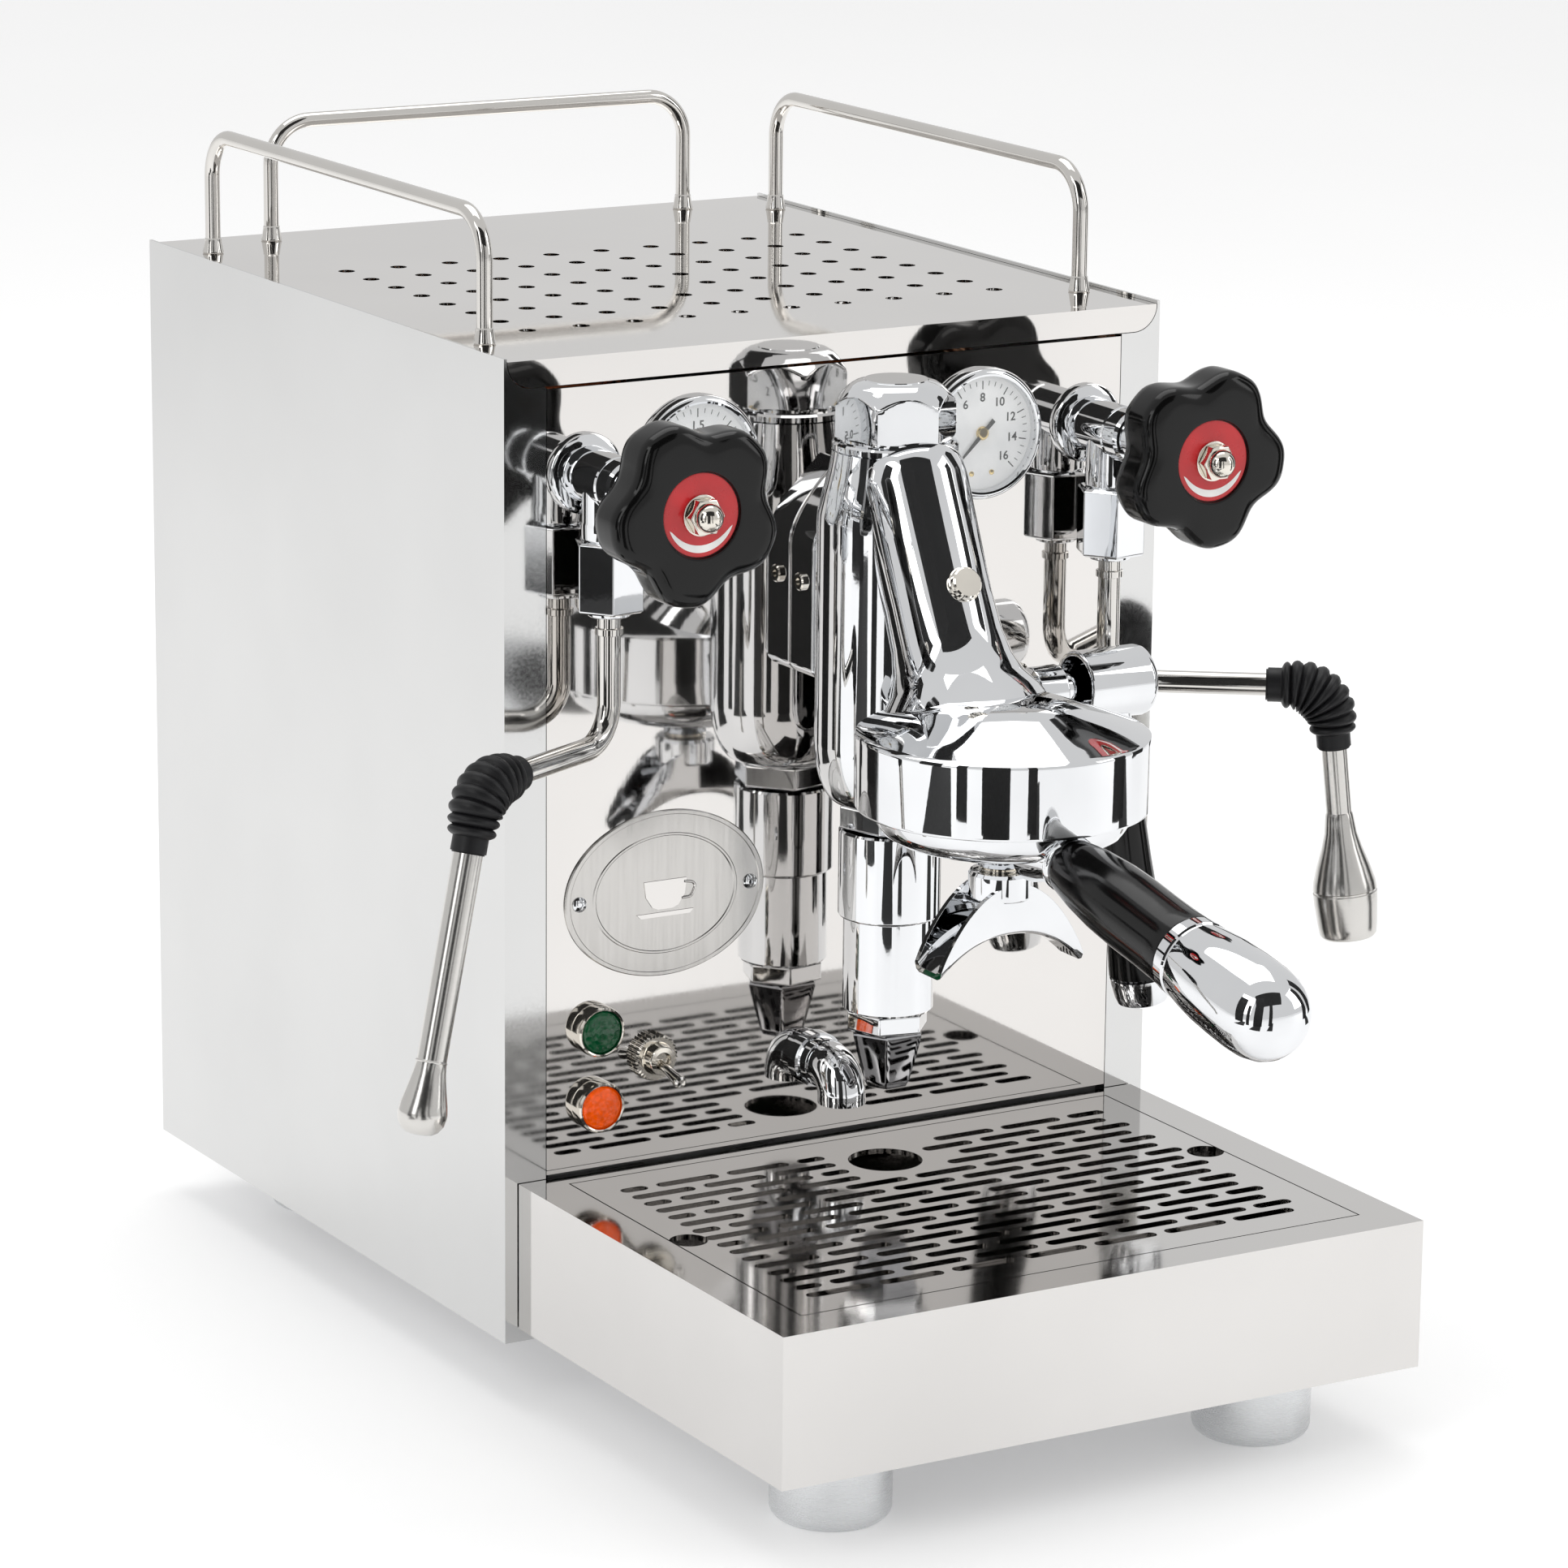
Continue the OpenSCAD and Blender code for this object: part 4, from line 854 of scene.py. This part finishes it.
end = [(116.2, 10.6), (116.8, 11.5), (118.4, 11.5), (124, 10.6), (126.8, 9.6), (128, 7.6),
       (128.3, 0.01)]
lathe("lever_end", end, lever_start, lever_dir, chrome, "lever", 72, slot="chrome_plate")

# ---- Valves and their knobs ----

KNOB_R = 33.9
NUT_HEIGHT = 26
DISC_R = 15
MARK_R = 13.4


def valve(side, body, lobe_turn):
    """Body with its branch and nut, five-lobed knob and acorn nut."""
    valve_node, knob_node = f"{side}_valve", f"{side}_knob"
    spindle = mid(f"{side}_spindle")
    x, z = spindle.x, spindle.z
    nose = [(-1, 15), (1.6, 15), (2.6, 14.4), (3.2, 13), (3.4, 10.6), (4.2, 10.3), (26, 10.3),
            (26.5, 9.8), (27.4, 9.8), (27.9, 10.3), (34.6, 10.3), (36, 9.4), (36.4, 8.4),
            (44, 8.2), (44.4, 7.7), (45.4, 7.7), (45.8, 8.2), (60.8, 8.2), (62, 7.4),
            (62.2, 4.4), (44, 4.4)]
    wand_y = mid("steam_seat").y
    nut_bottom = lo(valve_node).z
    drop = z - (nut_bottom + NUT_HEIGHT)
    branch = [(2, 9.9), (14, 9.9), (15, 10.2), (drop - 1, 10.2), (drop, 9.6)]
    finished(f"{side}_valve_body", *joined(
        turned_shape(nose, (x, 0, z), FORWARD, 80), turned_shape(branch, (x, wand_y, z), -Z, 64),
    ), chrome, "cabinet", (valve_node,), "chrome_plate")
    nut_at = (x, wand_y, nut_bottom)
    finished(f"{side}_valve_nut", *joined(
        hexagon_shape(13.5, nut_at, Z, NUT_HEIGHT, 1.4, math.radians(8)),
        turned_shape([(0, 8.2), (1.8, 7.8), (2.2, 5.4)], nut_at, -Z, 48),
    ), chrome, "cabinet", slot="chrome_plate", bevel=0.4)

    # Knob: rings of a five-lobed outline, from the back face round to the recess for the disc
    back_y = hi(knob_node).y
    depth = back_y - lo(knob_node).y

    def lobed(angle, inset):
        phase = (angle - math.radians(lobe_turn)) * 5
        valley = math.sqrt(0.12 + 0.88 * (0.5 - 0.5 * math.cos(phase)) ** 2)
        return KNOB_R + 2.6 - 8.4 * valley ** 1.1 - inset

    rings = [(0.2, 7.5), (0.5, 4.6), (1.4, 2.2), (3, 0.8), (5, 0.15), (7, 0), (depth - 6, 0),
             (depth - 3.6, 0.35), (depth - 2, 1.3), (depth - 0.9, 2.7), (depth - 0.3, 4.6),
             (depth, 7)]
    recess = [(depth, 16.4), (depth - 0.2, 15.6), (depth - 1.2, 15.2), (depth - 1.5, 0.01)]
    steps = 180
    radii = [(along, [lobed(angle, inset) for angle in circle(steps)]) for along, inset in rings]
    radii += [(along, [r] * steps) for along, r in recess]
    verts = [Vector((x + r * math.sin(angle), back_y - along, z + r * math.cos(angle)))
             for along, ring in radii for angle, r in zip(circle(steps), ring)]
    finished(f"{side}_knob_body", verts, loft_faces(len(radii), steps), bakelite, body,
             (knob_node,), "black_knob", sharp=50)
    face = Vector((x, back_y - depth + 1.4, z))
    lathe(f"{side}_knob_disc", [(-0.4, DISC_R), (0.2, DISC_R), (0.4, 14.6), (0.4, 0.01)], face,
          FORWARD, red_disc, body, 96, slot="black_knob")
    # The crescent on the disc
    band = []
    for i in range(33):
        angle = math.radians(200 + 140 * i / 32)
        thick = 2.6 * math.sin(math.pi * i / 32) ** 0.6 + 0.05
        for r in (MARK_R, MARK_R - thick):
            out = Vector((math.cos(angle) * r, 0, math.sin(angle) * r))
            band.append(face + FORWARD * 0.46 + out)
    band_faces = [(2 * i, 2 * i + 1, 2 * i + 3, 2 * i + 2) for i in range(32)]
    finished(f"{side}_knob_mark", band, band_faces, white_print, body, slot="white_plastic")
    nut_start = face + FORWARD * 0.4
    acorn = [(4.6, 5.2), (5.4, 5.3)]
    for i in range(1, 9):
        t = math.radians(90 - 90 * i / 8)
        acorn.append((5.4 + 5.3 * math.cos(t), max(5.3 * math.sin(t), 0.01)))
    finished(f"{side}_knob_nut", *joined(
        turned_shape([(0, 7.4), (0.8, 7.4), (1.0, 7)], nut_start, FORWARD, 48),
        hexagon_shape(6.9, nut_start + FORWARD, FORWARD, 4.2, 0.8),
        turned_shape(acorn, nut_start, FORWARD, 48),
        turned_shape([(-36, 4), (0, 4)], nut_start, FORWARD, 32),
    ), nickel, body, (f"{side}_spindle",), "nickel", sharp=40)


valve("steam", "steam_tap", -27.5)
valve("water", "water_tap", 25.7)

# ---- Wands ----

WAND_R = 4.3
WAND_BEND = 15.0
COLLAR = 6.0
RIBS = 9


def wand(side, arm, turn, lean_deg, drop, sleeve_r):
    """Pipe, bellows over the elbow, and the lower tube. Returns the end and its direction."""
    sx = -1 if side == "steam" else 1
    nodes = [f"{side}_wand", f"{side}_grip"]
    x = mid(f"{side}_seat").x
    y = mid(f"{side}_seat").y
    top = hi(nodes[0]).z - 6
    arm_z = lo(f"{side}_valve").z - 49
    out = Vector((sx * math.cos(math.radians(turn)), -math.sin(math.radians(turn)), 0))
    lean_r = math.radians(lean_deg)
    down = out * math.sin(lean_r) - Z * math.cos(lean_r)
    start = Vector((x, y, top))
    knee = Vector((x, y, arm_z))
    elbow = knee + out * arm
    end = elbow + down * drop
    pipe = rounded_path([start, knee, elbow, elbow + down * 24], WAND_BEND, 16)
    finished(f"{side}_pipe", *joined(
        tube_shape(pipe, lambda _: WAND_R),
        turned_shape([(0, WAND_R), (0.4, WAND_R + 0.9), (2.6, WAND_R + 0.9), (3, WAND_R)],
                     Vector((x, y, lo(f"{side}_valve").z - 6)), -Z, 40),
    ), tube_steel, f"{side}_arm", (nodes[0],), "steel_tube")
    lower = tube_shape([elbow + down * 18, elbow + down * 19, end], lambda _: sleeve_r, 40)
    finished(f"{side}_lower_tube", *lower, brushed_tube, f"{side}_arm", slot="steel_tube")

    # Bellows: a soft sleeve with collars at both ends and ribs that are widest at the elbow
    grip_path = rounded_path([elbow - out * 24, elbow, elbow + down * 24], WAND_BEND, 24)
    fine = resampled(grip_path, 220)
    total = lengths(fine)[-1]

    def bellows_r(along):
        edge = min(along, total - along)
        if edge < 0.6:
            return 5.9
        if edge < COLLAR:
            return 6.5
        share = (along - COLLAR) / (total - 2 * COLLAR)
        swell = 7.4 + 1.9 * math.sin(math.pi * share)
        return swell + 0.3 + 1.9 * (abs(math.cos(math.pi * (RIBS * share - 0.5))) ** 0.7 - 0.6)

    finished(f"{side}_bellows", *tube_shape(fine, bellows_r, 48), rubber, f"{side}_arm",
             (nodes[1],), "black_rubber", sharp=70)
    return end, down


steam_end, steam_down = wand("steam", 80, 27, 17.5, 98, 5.4)
tip = [(-0.6, 5.4), (0, 5.8), (0.5, 5.5), (4, 5.9), (10, 7.2), (15, 8.4), (18, 8.9),
       (19.4, 8.9), (22, 8.3), (24.4, 6.6), (25.6, 4.6), (26, 2.4), (26, 0.01)]
lathe("steam_nozzle", tip, steam_end, steam_down, brushed_tube, "steam_arm", 64,
      replaces=("steam_tip",), slot="steel_tube", sharp=40)
water_end, water_down = wand("water", 84, 35, 6, 50, 4.9)
spray = [(-1, 4.9), (0, 5.3), (2, 5.6), (7, 6.2), (13, 7.8), (20, 10.2), (26, 11.9), (29, 12.3),
         (29.4, 11.9), (29.9, 11.9), (30.3, 12.3), (34, 12.2), (43, 11.4), (46.6, 10.9),
         (47.8, 9.9), (47.9, 8.6), (44, 8.2), (40, 0.01)]
lathe("water_rose", spray, water_end, water_down, brushed_tube, "water_arm", 72,
      replaces=("water_nozzle",), slot="chrome_plate", sharp=40)

# ---- Filter holder ----

HANDLE_TILT = math.radians(11)
handle_dir = Vector((0, -math.cos(HANDLE_TILT), -math.sin(HANDLE_TILT)))
handle_start = bell + Z * (bell_bottom - 2)
bowl = [(-12, 0.01), (-10, 12), (-8, 30.4), (13, 30.6), (13.4, 31.2), (13.2, 35.4), (1.6, 35.6),
        (0.6, 36), (-0.4, 37), (-0.4, 45.2), (-1.2, 46), (-4.6, 45.6), (-8, 43.6), (-10.6, 39.4),
        (-12.6, 33), (-14, 25.6), (-15.2, 18), (-16.4, 12.4), (-18.4, 9.4), (-21, 8.6), (-21, 0.01)]
lathe("holder_bowl", bowl, bell + Z * bell_bottom, Z, chrome, "holder", 128,
      replaces=("filter_holder",), slot="chrome_plate", sharp=40)
neck = [(30, 14), (36, 11.2), (40, 9.4), (43, 8.6), (44, 9.6), (44.6, 10.6), (46.2, 10.6),
        (47, 9.8)]
lathe("holder_neck", neck, handle_start, handle_dir, chrome, "holder", 64, slot="chrome_plate",
      sharp=45)
GRIP_START, CAP_START = 47.0, 123.0
grip = [(0, 9.2), (0.8, 10.2), (4, 10.8), (14, 12.4), (28, 13.6), (42, 14.0), (56, 13.9),
        (68, 14.1), (75, 14.4), (76, 13.8)]
lathe("holder_grip", [(GRIP_START + a, r) for a, r in grip], handle_start, handle_dir, bakelite,
      "holder", 80, replaces=("handle_grip",), slot="black_knob", sharp=50)
cap = [(0, 13.6), (0.6, 14.8), (5.2, 15), (5.8, 14.4), (6.6, 14.3), (7.2, 14.9), (14, 15.9),
       (22, 16.7), (32, 17), (42, 17), (48, 16.5), (53, 15.1), (56.6, 13), (59.2, 10.2),
       (60.9, 6.8), (61.7, 3.4), (62, 0.01)]
lathe("holder_cap", [(CAP_START + a, r) for a, r in cap], handle_start, handle_dir, chrome,
      "holder", 96, replaces=("handle_cap",), slot="chrome_plate", sharp=30)

# Threaded stub and the double spout: an open channel that bows down to both sides
stub = [(-16.5 - i * 0.28, 7.6 + (0.45 if i % 4 < 2 else -0.25)) for i in range(37)]
lathe("spout_thread", stub, bell + Z * bell_bottom, Z, nickel, "holder", 48, slot="nickel",
      sharp=80)
spout_top, spout_bottom = hi("spout").z - 5, lo("spout").z
half_l = hi("spout").x
half_w, wall = 10.4, 2.2
channel = []
count = 49
for i in range(count):
    t = -1 + 2 * i / (count - 1)
    a = abs(t)
    under = spout_bottom + 13.5 * (1 - a**2.2)
    rim = spout_bottom + 3.4 + (spout_top - spout_bottom - 6) * (1 - a**2.0) ** 0.9
    width = half_w - 1.2 * a
    floor_in = under + wall
    rim = max(rim, floor_in + 1)
    section = [
        (-width, rim), (-width, under + 3), (-width + 1, under + 0.9), (-width + 3, under),
        (width - 3, under), (width - 1, under + 0.9), (width, under + 3), (width, rim),
        (width - wall, rim), (width - wall, floor_in + 1.6), (width - wall - 1.6, floor_in),
        (-width + wall + 1.6, floor_in), (-width + wall, floor_in + 1.6), (-width + wall, rim),
    ]
    channel += [bell + Vector((half_l * t, y, z)) for y, z in section]
finished("spout_channel", channel, loft_faces(count, len(section)), chrome, "holder", ("spout",),
         "chrome_plate", sharp=50, bevel=0.5)
hub = [(0, 11.2), (1, 11.8), (8.8, 11.8), (10, 11), (10.2, 7.2)]
lathe("spout_hub", hub, bell + Z * (spout_top - 9), Z, chrome, "holder", 72, slot="chrome_plate")

# ---- Floor, light and camera ----

SQUARE = ((-1, -1), (1, -1), (1, 1), (-1, 1))
REACH = 12.0
floor_mesh = bpy.data.meshes.new("floor")
floor_mesh.from_pydata([(sx * REACH, sy * REACH, 0) for sx, sy in SQUARE], [], [(0, 1, 2, 3)])
floor = added("floor", floor_mesh)
floor_paint = Paint("pale_floor", (0.9, 0.9, 0.9), 0.6)
floor_paint.vary_colour(1.5, 0.01).set(Emission_Color=(1, 1, 1, 1), Emission_Strength=0.22)
floor_mesh.materials.append(floor_paint.material)


def flag(name, centre, facing, width, height, along=None):
    """A black card, seen only in reflections. along is the direction of its width, if given."""
    facing = Vector(facing).normalized()
    side, up = (along, facing.cross(along)) if along else across(facing)
    centre = Vector(centre)
    corners = [centre + side * sx * width / 2 + up * sz * height / 2 for sx, sz in SQUARE]
    mesh = bpy.data.meshes.new(name)
    mesh.from_pydata(corners, [], [(0, 1, 2, 3)])
    card = added(name, mesh)
    mesh.materials.append(moulded(name + "_cloth", (0.01, 0.01, 0.01), 0.9).material)
    card.visible_camera = False
    card.visible_shadow = False
    card.visible_diffuse = False


def bearing(azimuth):
    return Vector((math.cos(math.radians(azimuth)), math.sin(math.radians(azimuth)), 0))


LIGHT_AIM = Vector((0, 0, 0.2))


def softbox(name, position, size, power):
    light = bpy.data.lights.new(name, "AREA")
    light.shape = "RECTANGLE"
    light.size, light.size_y = size
    light.energy = power
    lamp_object = added(name, light)
    lamp_object.location = position
    aim = LIGHT_AIM - Vector(position)
    lamp_object.rotation_euler = aim.to_track_quat("-Z", "Y").to_euler()


softbox("left_box", (-2.6, -0.6, 1.7), (1.6, 2.2), 22)
softbox("right_box", (2.4, -1.6, 1.5), (1.4, 2.0), 16)
softbox("top_box", (0.2, 0.8, 2.6), (2.2, 1.6), 18)
flag("front_flag", (-0.55, -1.9, 2.3), (0.25, 0.75, -0.6), 3.2, 1.8)
# Upright cards round the machine: name, azimuth, distance, width and height
for name, azimuth, distance, width, height in [
    ("left_flag", 186, 1.5, 0.5, 1.5), ("near_left_flag", 214, 0.95, 0.13, 0.7),
    ("camera_flag", 238, 0.9, 0.3, 1.1), ("middle_flag", 262, 0.95, 0.1, 0.9),
    ("right_flag", 330, 0.95, 0.2, 0.9), ("far_right_flag", 356, 1.2, 0.36, 1.2),
]:
    out = bearing(azimuth)
    flag(name, out * distance + Z * (height / 2 + 0.002), -out, width, height)
# Strips laid on the table in front of them: name, azimuth, near and far end, width
for name, azimuth, near, far, width in [
    ("left_strip", 196, 0.75, 1.6, 0.34), ("camera_strip", 238, 0.62, 1.3, 0.26),
    ("middle_strip", 264, 0.66, 1.3, 0.1), ("right_strip", 336, 0.6, 1.3, 0.16),
]:
    out = bearing(azimuth)
    flag(name, out * (near + far) / 2 + Z * 0.003, Z, far - near, width, out)

world = bpy.data.worlds.new("studio")
bpy.context.scene.world = world
world.use_nodes = True
background = world.node_tree.nodes["Background"]
background.inputs["Color"].default_value = (1, 1, 1, 1)
background.inputs["Strength"].default_value = 0.72
bpy.context.scene.view_settings.view_transform = "Standard"

# The camera, solved from the edges of the cabinet and the drip tray in the photograph
CAMERA_PLACE = (-1138.96, -1912.51, 754.95)
CAMERA_LENS, SENSOR_WIDTH = 140.79, 36
VIEW_TURN, VIEW_TILT, VIEW_ROLL = math.radians(-30.27), math.radians(14.06), math.radians(0.57)
look = Vector((-math.sin(VIEW_TURN) * math.cos(VIEW_TILT),
               math.cos(VIEW_TURN) * math.cos(VIEW_TILT), -math.sin(VIEW_TILT)))
right = Vector((math.cos(VIEW_TURN), math.sin(VIEW_TURN), 0))
up = right.cross(look)
right_rolled = math.cos(VIEW_ROLL) * right + math.sin(VIEW_ROLL) * up
up_rolled = -math.sin(VIEW_ROLL) * right + math.cos(VIEW_ROLL) * up
camera_data = bpy.data.cameras.new("camera")
camera_data.lens = CAMERA_LENS
camera_data.sensor_width = SENSOR_WIDTH
camera = added("camera", camera_data)
turn = Matrix((right_rolled, up_rolled, -look)).transposed().to_4x4()
camera.matrix_world = Matrix.Translation(place(*CAMERA_PLACE)) @ turn
bpy.context.scene.camera = camera
